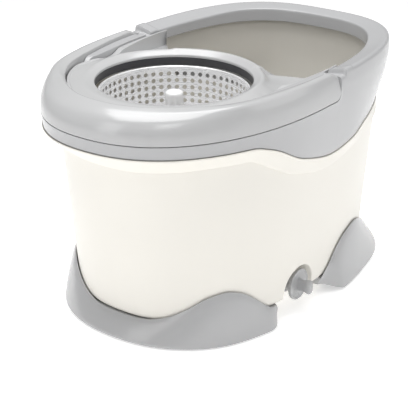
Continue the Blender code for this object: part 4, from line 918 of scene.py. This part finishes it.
def punched_wall_tree(finish):
    """Repeat the tile over a grid, bend it round the axis and give it thickness."""
    tree, source, result = geometry_tree("punched_wall", (
        ("Columns", "NodeSocketInt", columns), ("Rows", "NodeSocketInt", rows),
        ("Column Pitch", "NodeSocketFloat", column_pitch), ("Row Pitch", "NodeSocketFloat", row_pitch),
        ("Low Z", "NodeSocketFloat", wall_low_z),
         ("Low Radius", "NodeSocketFloat", basket_radius(wall_low_z)),
        ("Top Radius", "NodeSocketFloat", basket_radius(band_low_z)),
        ("Axis X", "NodeSocketFloat", spin_x), ("Sheet", "NodeSocketFloat", sheet)))
    add, join = node_tools(tree)

    def calc(operation, first, second=None):
        node = add("ShaderNodeMath", operation=operation)
        for socket, value in zip(node.inputs, (first, second)):
            if value is None:
                continue
            if isinstance(value, (int, float)):
                socket.default_value = value
            else:
                join(value, socket)
        return node.outputs[0]
    grid = add("GeometryNodeMeshGrid")
    join(calc("MULTIPLY", source.outputs["Column Pitch"], calc("SUBTRACT", source.outputs["Columns"], 1.0)),
         grid.inputs["Size X"])
    join(calc("MULTIPLY", source.outputs["Row Pitch"], calc("SUBTRACT", source.outputs["Rows"], 1.0)),
         grid.inputs["Size Y"])
    join(source.outputs["Columns"], grid.inputs["Vertices X"])
    join(source.outputs["Rows"], grid.inputs["Vertices Y"])
    spread = add("GeometryNodeInstanceOnPoints")
    join(grid.outputs["Mesh"], spread.inputs["Points"])
    join(source.outputs["Geometry"], spread.inputs["Instance"])
    real = add("GeometryNodeRealizeInstances")
    join(spread.outputs["Instances"], real.inputs["Geometry"])
    where = add("GeometryNodeInputPosition")
    split = add("ShaderNodeSeparateXYZ")
    join(where.outputs[0], split.inputs[0])
    around = calc("MULTIPLY", source.outputs["Columns"], source.outputs["Column Pitch"])
    turn = calc("MULTIPLY", calc("DIVIDE", split.outputs["X"], around), 2 * math.pi)
    tall = calc("MULTIPLY", source.outputs["Rows"], source.outputs["Row Pitch"])
    share = calc("ADD", calc("DIVIDE", split.outputs["Y"], tall), 0.5)
    radius = calc("ADD", source.outputs["Low Radius"],
                  calc("MULTIPLY", share, calc("SUBTRACT", source.outputs["Top Radius"],
                                               source.outputs["Low Radius"])))
    bent = add("ShaderNodeCombineXYZ")
    join(calc("ADD", source.outputs["Axis X"], calc("MULTIPLY", radius, calc("COSINE", turn))),
         bent.inputs["X"])
    join(calc("MULTIPLY", radius, calc("SINE", turn)), bent.inputs["Y"])
    join(calc("ADD", source.outputs["Low Z"], calc("MULTIPLY", share, tall)), bent.inputs["Z"])
    bend = add("GeometryNodeSetPosition")
    join(real.outputs["Geometry"], bend.inputs["Geometry"])
    join(bent.outputs[0], bend.inputs["Position"])
    weld = add("GeometryNodeMergeByDistance")
    weld.inputs["Distance"].default_value = 0.00002
    join(bend.outputs["Geometry"], weld.inputs["Geometry"])
    thick = add("GeometryNodeExtrudeMesh", mode="FACES")
    thick.inputs["Individual"].default_value = False
    join(weld.outputs["Geometry"], thick.inputs["Mesh"])
    join(source.outputs["Sheet"], thick.inputs["Offset Scale"])
    flip = add("GeometryNodeFlipFaces")
    join(weld.outputs["Geometry"], flip.inputs["Mesh"])
    both = add("GeometryNodeJoinGeometry")
    join(thick.outputs["Mesh"], both.inputs[0])
    join(flip.outputs["Mesh"], both.inputs[0])
    close = add("GeometryNodeMergeByDistance")
    close.inputs["Distance"].default_value = 0.00002
    join(both.outputs["Geometry"], close.inputs["Geometry"])
    whole = add("GeometryNodeRealizeInstances")
    join(close.outputs["Geometry"], whole.inputs["Geometry"])
    dress = add("GeometryNodeSetMaterial")
    dress.inputs["Material"].default_value = finish
    join(whole.outputs["Geometry"], dress.inputs["Geometry"])
    join(dress.outputs["Geometry"], result.inputs["Geometry"])
    return tree


def grow(piece, tree, crease=38, **values):
    """Run a node tree on a piece with named inputs and keep the plain result."""
    step = piece.modifiers.new("grow", "NODES")
    step.node_group = tree
    for item in tree.interface.items_tree:
        if item.item_type == "SOCKET" and item.in_out == "INPUT" and item.name in values:
            step[item.identifier] = values[item.name]
    return bake(piece, crease)


punched = bpy.data.objects.new("basket_punched_wall", tile_mesh())
bpy.context.collection.objects.link(punched)
grow(punched, punched_wall_tree(bright_steel), Columns=columns, Rows=rows)
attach(punched, "spinner")
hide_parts("spin_basket")

top_z = 0.2492
basket_shell = turned("basket_lip_band", [
    (basket_radius(band_low_z), band_low_z, 0.0001, 2), (basket_radius(0.2448), 0.2456, 0.0012, 2),
    (0.0792, 0.2482, 0.0012, 2), (0.0806, top_z, 0.0012, 2), (0.0818, top_z - 0.0012, 0.0010, 2),
    (0.0818, top_z - 0.0034, 0.0010, 2), (0.0806, top_z - 0.0046, 0.0008, 2),
    (basket_radius(0.2448) + sheet, 0.2444, 0.0003, 2),
    (basket_radius(band_low_z) + sheet, band_low_z, 0.0001, 1)], (spin_x, 0), bright_steel, 224)
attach(basket_shell, "spinner")
low_radius = basket_radius(wall_low_z)
basket_floor = turned("basket_floor", [
    (low_radius, wall_low_z, 0.0001, 2), (low_radius + sheet, wall_low_z, 0.0001, 4),
    (0.0745, basket_floor_z, 0.0085, 8), (0.0500, basket_floor_z, 0.0010, 2),
    (0.0480, basket_floor_z + 0.0012, 0.0010, 4), (0.0300, basket_floor_z + 0.0012, 0.0010, 2),
    (0.0280, basket_floor_z, 0.0010, 4), (0.0060, basket_floor_z, 0.0002, 1),
    (0.0060, basket_floor_z + sheet, 0.0002, 4), (0.0280, basket_floor_z + sheet, 0.0010, 2),
    (0.0300, basket_floor_z + sheet + 0.0012, 0.0010, 4),
    (0.0480, basket_floor_z + sheet + 0.0012, 0.0010, 2),
    (0.0500, basket_floor_z + sheet, 0.0010, 4), (0.0733, basket_floor_z + sheet, 0.0075, 8)],
    (spin_x, 0), bright_steel, 224)
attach(basket_floor, "spinner")


# ---------------------------------------------------------------------------
# Drive post: a white acetal post with eight shallow flutes and a domed top that the mop
# head drops over, flanged where three screws hold it to the basket's floor.
# ---------------------------------------------------------------------------
white = moulded_plastic("white_moulding", (0.88, 0.88, 0.875), 0.30, 0.015, 0.05)
post_low = basket_floor_z + sheet + fit
post_top = 0.2470


def post_flutes(angle, z):
    depth = 0.0012 * ease(z, post_low + 0.0070, post_low + 0.0100)
    depth *= ease(z, post_top - 0.0080, post_top - 0.0150)
    return depth * (0.5 - 0.5 * math.cos(8 * angle)) ** 1.5


post = turned("drive_post_moulding", [
    (0.0, post_low, 0, 1), (0.0040, post_low, 0, 4), (0.0220, post_low, 0.0004, 1),
    (0.0220, post_low + 0.0050, 0.0012, 6), (0.0106, post_low + 0.0050, 0.0030, 14),
    (0.0100, post_top - 0.0170, 0.004, 8), (0.0096, post_top - 0.0010, 0.0085, 6),
    (0.0030, post_top, 0.0020, 2), (0.0006, post_top, 0, 1), (0.0, post_top, 0, 1)],
    (spin_x, 0), white, 128, closed=False, wave=post_flutes)
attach(post, "spinner")
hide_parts("drive_post")


# ---------------------------------------------------------------------------
# Hub and its screws: a ribbed grey disc clamped under the basket floor by three steel
# pan-head screws that come up through the floor into the post's flange.
# ---------------------------------------------------------------------------
hub_top = basket_floor_z - fit
hub_low = hub_top - 0.010


def hub_ribs(angle, z):
    return -0.0007 * max(0.0, math.cos(24 * angle)) ** 4 * ease(z, hub_top - 0.0052, hub_top - 0.0045)


hub = turned("hub_moulding", [
    (0.0, hub_top, 0, 1), (0.0046, hub_top, 0, 3), (0.0258, hub_top, 0.0005, 3),
    (0.0258, hub_top - 0.0048, 0.0010, 3), (0.0120, hub_top - 0.0060, 0.0010, 2),
    (0.0110, hub_low, 0.0005, 2), (0.0046, hub_low, 0, 1), (0.0, hub_low, 0, 1)],
    (spin_x, 0), trim_grey, 192, closed=False, wave=hub_ribs)
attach(hub, "spinner")
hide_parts("basket_hub")


def screw_seed(name, radius, shank):
    """A pan-head screw pointing up from the origin: domed head with a cross recess, thread."""
    head, thick, segments = radius * 2.0, radius * 1.25, 32
    rings = []
    for share in (0.15, 0.40, 0.62, 0.80, 0.93, 1.0):
        drop = thick * (1 - 0.55 * share ** 3)
        ring = []
        for i in range(segments):
            a = 2 * math.pi * i / segments
            cross = max(0.0, math.cos(4 * a)) ** 3 * (1 if share < 0.7 else 0.0)
            ring.append((head * share * math.cos(a), head * share * math.sin(a),
                         -drop + 0.45 * thick * cross + (0.3 * thick if share < 0.2 else 0.0)))
        rings.append(ring)
    rings.append([(head * math.cos(2 * math.pi * i / segments),
                   head * math.sin(2 * math.pi * i / segments), 0.0) for i in range(segments)])
    turns = int(shank / 0.0007)
    for k in range(2 * turns):
        r = radius * (1.0 if k % 2 else 0.80) * (1 - 0.5 * ease(k, 2 * turns - 5, 2 * turns))
        rings.append([(r * math.cos(2 * math.pi * i / segments), r * math.sin(2 * math.pi * i / segments),
                       shank * (k + i / segments * 2) / (2 * turns + 2)) for i in range(segments)])
    return skin(name, rings, False)


def ring_tree(name, finish):
    """Repeat the piece at equal turns round a vertical axis."""
    tree, source, result = geometry_tree(name, (
        ("Count", "NodeSocketInt", 3), ("Radius", "NodeSocketFloat", 0.02),
        ("Turn", "NodeSocketFloat", 0.0), ("Axis X", "NodeSocketFloat", 0.0),
        ("Height", "NodeSocketFloat", 0.0), ("Tip", "NodeSocketFloat", 0.0)))
    add, join = node_tools(tree)
    circle = add("GeometryNodeMeshCircle")
    join(source.outputs["Count"], circle.inputs["Vertices"])
    join(source.outputs["Radius"], circle.inputs["Radius"])
    spin = add("GeometryNodeTransform")
    turn = add("ShaderNodeCombineXYZ")
    shift = add("ShaderNodeCombineXYZ")
    join(source.outputs["Turn"], turn.inputs["Z"])
    join(source.outputs["Axis X"], shift.inputs["X"])
    join(source.outputs["Height"], shift.inputs["Z"])
    join(circle.outputs["Mesh"], spin.inputs["Geometry"])
    join(turn.outputs[0], spin.inputs["Rotation"])
    join(shift.outputs[0], spin.inputs["Translation"])
    spread = add("GeometryNodeInstanceOnPoints")
    place = add("GeometryNodeInputPosition")
    offset = add("ShaderNodeVectorMath", operation="SUBTRACT")
    join(place.outputs[0], offset.inputs[0])
    join(shift.outputs[0], offset.inputs[1])
    split = add("ShaderNodeSeparateXYZ")
    join(offset.outputs[0], split.inputs[0])
    facing = add("ShaderNodeMath", operation="ARCTAN2")
    join(split.outputs["Y"], facing.inputs[0])
    join(split.outputs["X"], facing.inputs[1])
    aim = add("ShaderNodeCombineXYZ")
    join(source.outputs["Tip"], aim.inputs["X"])
    join(facing.outputs[0], aim.inputs["Z"])
    join(spin.outputs["Geometry"], spread.inputs["Points"])
    join(source.outputs["Geometry"], spread.inputs["Instance"])
    join(aim.outputs[0], spread.inputs["Rotation"])
    real = add("GeometryNodeRealizeInstances")
    join(spread.outputs["Instances"], real.inputs["Geometry"])
    dress = add("GeometryNodeSetMaterial")
    dress.inputs["Material"].default_value = finish
    join(real.outputs["Geometry"], dress.inputs["Geometry"])
    join(dress.outputs["Geometry"], result.inputs["Geometry"])
    return tree


hub_screws = grow(screw_seed("hub_screw_set", 0.0016, 0.0110), ring_tree("hub_screw_ring", turned_steel),
                  Count=3, Radius=0.0165, Turn=math.radians(30), **{"Axis X": spin_x},
                  Height=hub_top - 0.0062, Tip=0.0)
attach(hub_screws, "spinner")
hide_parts("hub_screw_1", "hub_screw_2", "hub_screw_3")


# ---------------------------------------------------------------------------
# Axle, clip and bearings: turned steel under the hub, deep in the tower. They keep the
# frame's own shapes and get the turned-steel finish.
# ---------------------------------------------------------------------------
for node in ("spin_axle", "axle_clip", "upper_bearing", "lower_bearing"):
    refinish(node, turned_steel)


# ---------------------------------------------------------------------------
# Spin tower: a grey cone on the tub floor with gussets to its flange, screwed down with
# three pan-head screws.
# ---------------------------------------------------------------------------
tower_low, tower_top, lower_seat = 0.0364, hub_low - 0.004, 0.0794
tower = turned("tower_moulding", [
    (0.0089, tower_top, 0.0003, 2), (0.0135, tower_top, 0.0006, 10),
    (0.0220, tower_low + 0.0100, 0.0030, 3), (0.0240, tower_low + 0.0040, 0.0012, 4),
    (0.0340, tower_low + 0.0040, 0.0008, 2), (0.0340, tower_low, 0.0004, 4),
    (0.0190, tower_low, 0.0006, 6), (0.0109, lower_seat - 0.020, 0.0010, 3),
    (0.0089, lower_seat - 0.016, 0.0006, 3), (0.0089, lower_seat, 0.0003, 1),
    (0.0061, lower_seat, 0.0003, 6), (0.0061, tower_top - 0.0068, 0.0003, 1),
    (0.0089, tower_top - 0.0068, 0.0003, 2)], (spin_x, 0), trim_grey, 96)
gusset_mesh = bpy.data.meshes.new("tower_gusset")
gusset_mesh.from_pydata(
    [(u, v, z) for v in (-0.0010, 0.0010) for u, z in ((-0.0015, 0.0), (0.0085, 0.0),
     (0.0085, 0.0020), (0.0010, 0.0170), (-0.0035, 0.0280), (-0.0050, 0.0280))], [],
    [(0, 1, 2, 3, 4, 5), (11, 10, 9, 8, 7, 6)] + [(i, i + 6, (i + 1) % 6 + 6, (i + 1) % 6)
                                                  for i in range(6)])
gussets = add_piece("tower_gussets", gusset_mesh, trim_grey)
grow(gussets, ring_tree("gusset_ring", trim_grey), Count=6, Radius=0.0235, Turn=math.radians(0),
     **{"Axis X": spin_x}, Height=tower_low + 0.0038, Tip=0.0)
carve(tower, gussets, "UNION")
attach(tower, "bucket")
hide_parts("spin_tower")
tower_screws = grow(screw_seed("tower_screw_set", 0.0018, 0.0120),
                    ring_tree("tower_screw_ring", turned_steel), Count=3, Radius=0.028,
                    Turn=math.radians(90), **{"Axis X": spin_x}, Height=tower_low + 0.0044,
                    Tip=math.pi)
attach(tower_screws, "bucket")
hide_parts("tower_screw_1", "tower_screw_2", "tower_screw_3")


# ---------------------------------------------------------------------------
# Drain: a grey spout pressed through the alcove's wall against a rubber ring, closed by a
# disc cap. The cap's grip is a fin that swells into a rounded knob.
# ---------------------------------------------------------------------------
rubber = moulded_plastic("black_rubber_skin", (0.030, 0.030, 0.031), 0.62, 0.15, 0.30, 900.0, level=0.3)
drain_grey = moulded_plastic("drain_moulding", (0.430, 0.432, 0.438), 0.25, 0.03, 0.06, coat=0.2)


def about_drain(name, profile, finish, segments=72, closed=True, wave=None):
    """A piece turned about the drain's axis from (radius, distance out) corners."""
    path = soften([((r, out, 0.0), radius, pieces) for r, out, radius, pieces in profile], closed)
    if not closed:
        path = path[1:-1]

    def put(p, a):
        r = p.x - (wave(a, p.y) if wave else 0.0)
        return (drain_x + r * math.cos(a), alcove_y - p.y, drain_z + r * math.sin(a))
    turns = [2 * math.pi * i / segments for i in range(segments)]
    if closed:
        return skin(name, [[put(p, a) for p in path] for a in turns], True, finish)
    return skin(name, [[put(p, a) for a in turns] for p in path], False, finish)


refinish("drain_seal", rubber)
flange = 0.0026
spout = about_drain("spout_moulding", [
    (0.0038, -0.0060, 0.0003, 2), (0.0054, -0.0060, 0.0006, 4), (0.0054, flange, 0.0002, 3),
    (0.0130, flange, 0.0005, 2), (0.0130, flange + 0.0025, 0.0008, 3),
    (0.0054, flange + 0.0025, 0.0005, 4), (0.0054, flange + 0.0100, 0.0005, 1),
    (0.0038, flange + 0.0100, 0.0004, 5)], drain_grey)
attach(spout, "bucket")
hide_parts("drain_spout")

face = 0.0200


def cap_knurl(angle, out):
    return 0.0006 * (0.5 - 0.5 * math.cos(36 * angle)) * ease(out, face - 0.0042, face - 0.0030) \
        * ease(out, face - 0.0004, face - 0.0012)


cap = about_drain("cap_moulding", [
    (0.0, flange + 0.0012, 0, 1), (0.0001, flange + 0.0012, 0, 2), (0.0032, flange + 0.0012, 0.0004, 4),
    (0.0032, face - 0.0046, 0.0003, 2), (0.0064, face - 0.0046, 0.0003, 3),
    (0.0064, flange + 0.0052, 0.0003, 2), (0.0112, flange + 0.0052, 0.0006, 3),
    (0.0112, face - 0.0036, 0.0008, 3), (0.0180, face - 0.0036, 0.0006, 6),
    (0.0180, face, 0.0011, 2), (0.0158, face, 0.0004, 2), (0.0150, face - 0.0007, 0.0004, 5),
    (0.0060, face - 0.0007, 0.001, 3), (0.0004, face - 0.0007, 0, 1), (0.0, face - 0.0007, 0, 1)],
    drain_grey, 144, closed=False, wave=cap_knurl)
grip_sections = []
for share, tall, thick in ((0.0, 1.02, 0.86), (0.06, 0.94, 0.74), (0.20, 0.86, 0.66), (0.38, 0.80, 0.66),
                           (0.52, 0.84, 0.82), (0.64, 0.95, 1.00), (0.78, 1.02, 1.08), (0.90, 0.98, 1.04),
                           (0.97, 0.84, 0.88), (1.0, 0.60, 0.62)):
    y = alcove_y - face + 0.0012 - 0.0170 * share
    ring = []
    for i in range(40):
        a = 2 * math.pi * i / 40
        u = math.copysign(abs(math.cos(a)) ** 0.72, math.cos(a))
        v = math.copysign(abs(math.sin(a)) ** 0.72, math.sin(a))
        ring.append((drain_x + 0.00425 * thick * u, y, drain_z + 0.00825 * tall * v))
    grip_sections.append(ring)
carve(cap, skin("cap_grip", grip_sections, False), "UNION")
cap.data.materials.clear()
cap.data.materials.append(drain_grey)
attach(cap, "drain_knob")
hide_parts("drain_cap")


# ---------------------------------------------------------------------------
# Feet: two grey skirts snapped under the tub, swelling outwards to the floor. Each edge
# runs as a wave up the tub's wall; underneath they are hollow and ribbed.
# ---------------------------------------------------------------------------
front_edge = ((-0.183, 0.0238), (-0.1785, 0.0244), (-0.172, 0.0285), (-0.159, 0.0405),
              (-0.142, 0.0545), (-0.127, 0.0582), (-0.112, 0.0535), (-0.096, 0.0410),
              (-0.082, 0.0285), (-0.073, 0.0238), (-0.064, 0.0236))
rear_edge = ((0.014, 0.0232), (0.029, 0.0340), (0.045, 0.0500), (0.064, 0.0610), (0.088, 0.0652),
             (0.117, 0.0560), (0.150, 0.0380), (0.175, 0.0250), (0.188, 0.0225))
foot_end_x = {"front": -0.064, "rear": 0.016}      # where each skirt stops along the side
clear_z, shelf_reach = 0.0015, 0.013
foot_grey = moulded_plastic("foot_moulding", (0.470, 0.472, 0.479), 0.22, 0.03, 0.05, marks=0.012, coat=0.3)


def foot_x(t):
    return plan_point(t, tub_low_insets)[0]


def parameter_of(x):
    low, high = 0.0, math.pi
    for _ in range(40):
        middle = (low + high) / 2
        low, high = (middle, high) if foot_x(middle) > x else (low, middle)
    return (low + high) / 2


def foot_place(t, z, offset):
    insets = [value - offset for value in tub_insets(max(z, tub_floor_z + 0.006))]
    return (*plan_point(t, insets), z)


def foot_shape(t, kind):
    """Bottom height, upper edge, flare and hollowness of a foot at a station."""
    x = foot_x(t)
    away = abs(x - foot_end_x[kind])
    if kind == "front":
        edge, rise = flow(x, front_edge), 0.0
        flare, end_flare = 0.0172 - 0.0055 * ease(x, -0.150, -0.080), -0.009
        close = math.sqrt(1 - (1 - min(1.0, away / 0.020)) ** 2)
    else:
        edge, rise = flow(x, rear_edge), 0.012
        flare, end_flare = 0.0155 + 0.010 * ease(x, 0.09, 0.18), -0.002
        close = ease(away, 0.0, 0.028)
    flare = end_flare + (flare - end_flare) * close
    low = clear_z + rise * (1 - ease(away, 0.0, 0.030))
    return low, edge, flare, ease(away, 0.004, 0.014) * 0.94 + 0.02


def foot_path(t, kind):
    low, edge, flare, hollow = foot_shape(t, kind)
    shelf = tub_floor_z - fit
    top = max(edge, shelf + 0.0012)
    hug = fit + 0.0008
    if kind == "front" and flare < hug + 0.003:
        top, hug = shelf - 0.0001, flare - 0.003
    rise = top - low
    roof = low + (shelf - 0.0030 - low) * hollow
    corners = [(low, flare, 0.0012, 2), (low + 0.0030, flare - 0.0001, 0.003, 3),
               (low + rise * 0.32, flare * 0.86, 0.006, 3),
               (low + rise * 0.62, flare * 0.58 + 0.0008, 0.006, 3),
               (low + rise * 0.88, flare * 0.25 + 0.0015, 0.004, 3), (top, hug + 0.0011, 0.0009, 1),
               (top - 0.0002, hug, 0.0002, 4), (min(shelf + 0.0002, top - 0.0004), hug, 0.0002, 1),
               (min(shelf, top - 0.0005), max(hug - 0.007, 0.002 - shelf_reach), 0.0004, 2),
               (shelf, -shelf_reach, 0.0006, 2),
               (low, -shelf_reach, 0.0006, 1), (low, 0.0025 - shelf_reach, 0.0006, 3),
               (roof, 0.0025 - shelf_reach, 0.0010, 3), (roof, flare * 0.5 - 0.0045, 0.0012, 4),
               (low, flare - 0.0030, 0.0006, 1)]
    return soften([(foot_place(t, z, offset), radius, pieces)
                   for z, offset, radius, pieces in corners], closed=True)


def foot_rib(t, kind):
    """Cross-section of a rib in the hollow of a foot."""
    low, _, flare, hollow = foot_shape(t, kind)
    roof = low + (tub_floor_z - fit - 0.0030 - low) * hollow
    back, face, edge_low = 0.0015 - shelf_reach, flare * 0.5 - 0.0045, low + 0.0015
    return [foot_place(t, edge_low, back), foot_place(t, roof + 0.0006, back),
            foot_place(t, roof + 0.0006, face), foot_place(t, edge_low, flare - 0.0022)]


for kind, ribs in (("front", 16), ("rear", 14)):
    start = parameter_of(foot_end_x[kind])
    first, last = (start, 2 * math.pi - start) if kind == "front" else (-start, start)
    count = 200
    sections = [foot_path(first + (last - first) * i / count, kind) for i in range(count + 1)]
    foot = skin(kind + "_foot_moulding", sections, False, foot_grey)
    for number in range(1, ribs):
        t = first + (last - first) * number / ribs
        half = 0.0009 / 0.16
        rib = skin("foot_rib", [foot_rib(t - half, kind), foot_rib(t + half, kind)], False, foot_grey)
        merged = bmesh.new()
        merged.from_mesh(foot.data)
        merged.from_mesh(rib.data)
        merged.to_mesh(foot.data)
        merged.free()
        bpy.data.objects.remove(rib, do_unlink=True)
    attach(foot, "bucket")
    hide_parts(kind + "_foot")


# ---------------------------------------------------------------------------
# Pads: black rubber buttons pushed into the feet, with a ring tread on the face that
# stands on the floor.
# ---------------------------------------------------------------------------
roof = clear_z + (tub_floor_z - fit - 0.003 - clear_z) * 0.96
for kind, x in (("front", -0.122), ("rear", 0.110)):
    px, py = plan_point(parameter_of(x), [value + 0.0035 for value in tub_low_insets])
    for label, side in (("near", -1), ("far", 1)):
        pad = turned("%s_pad_%s_button" % (kind, label), [
            (0.0, roof - fit, 0, 1), (0.0004, roof - fit, 0, 2), (0.0032, roof - fit, 0.0004, 3),
            (0.0032, 0.0056, 0.0008, 2), (0.0062, 0.0050, 0.0010, 3), (0.0062, 0.0, 0.0008, 2),
            (0.0048, 0.0, 0.0003, 1), (0.0046, 0.0006, 0.0002, 2), (0.0036, 0.0006, 0.0002, 1),
            (0.0034, 0.0, 0.0003, 2), (0.0018, 0.0, 0.0003, 1), (0.0016, 0.0006, 0.0002, 2),
            (0.0003, 0.0006, 0, 1), (0.0, 0.0006, 0, 1)], (px, side * py), rubber, 48, closed=False)
        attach(pad, "bucket")
        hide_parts("%s_pad_%s" % (kind, label))


# ---------------------------------------------------------------------------
# Wash stud: a cream post moulded on its own disc on the tub floor, and the white domed cap
# with grip flutes that turns on it under the mop head.
# ---------------------------------------------------------------------------
wash_x, stud_low = 0.105, floor_top_z + fit
stud = turned("wash_stud_moulding", [
    (0.0, stud_low + 0.0380, 0, 1), (0.0003, stud_low + 0.0380, 0, 2),
    (0.0045, stud_low + 0.0380, 0.0010, 8), (0.0045, stud_low + 0.0060, 0.0020, 3),
    (0.0080, stud_low + 0.0040, 0.0016, 3), (0.0160, stud_low + 0.0030, 0.0012, 2),
    (0.0160, stud_low, 0.0003, 3), (0.0003, stud_low, 0, 1), (0.0, stud_low, 0, 1)],
    (wash_x, 0), cream, 64, closed=False)
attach(stud, "bucket")
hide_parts("wash_stud")


def wash_flutes(angle, z):
    return 0.0007 * (0.5 - 0.5 * math.cos(10 * angle)) * ease(z, stud_low + 0.009, stud_low + 0.012) \
        * ease(z, stud_low + 0.040, stud_low + 0.036)


wash_cap = turned("wash_cap_moulding", [
    (0.0, stud_low + 0.0460, 0, 1), (0.0003, stud_low + 0.0460, 0, 3),
    (0.0060, stud_low + 0.0455, 0.0030, 4), (0.0085, stud_low + 0.0400, 0.0030, 10),
    (0.0085, stud_low + 0.0070, 0.0006, 2), (0.0049, stud_low + 0.0070, 0.0004, 6),
    (0.0049, stud_low + 0.0384, 0.0003, 2), (0.0003, stud_low + 0.0384, 0, 1),
    (0.0, stud_low + 0.0384, 0, 1)], (wash_x, 0), white, 120, closed=False, wave=wash_flutes)
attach(wash_cap, "wash_spinner")
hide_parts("wash_cap")
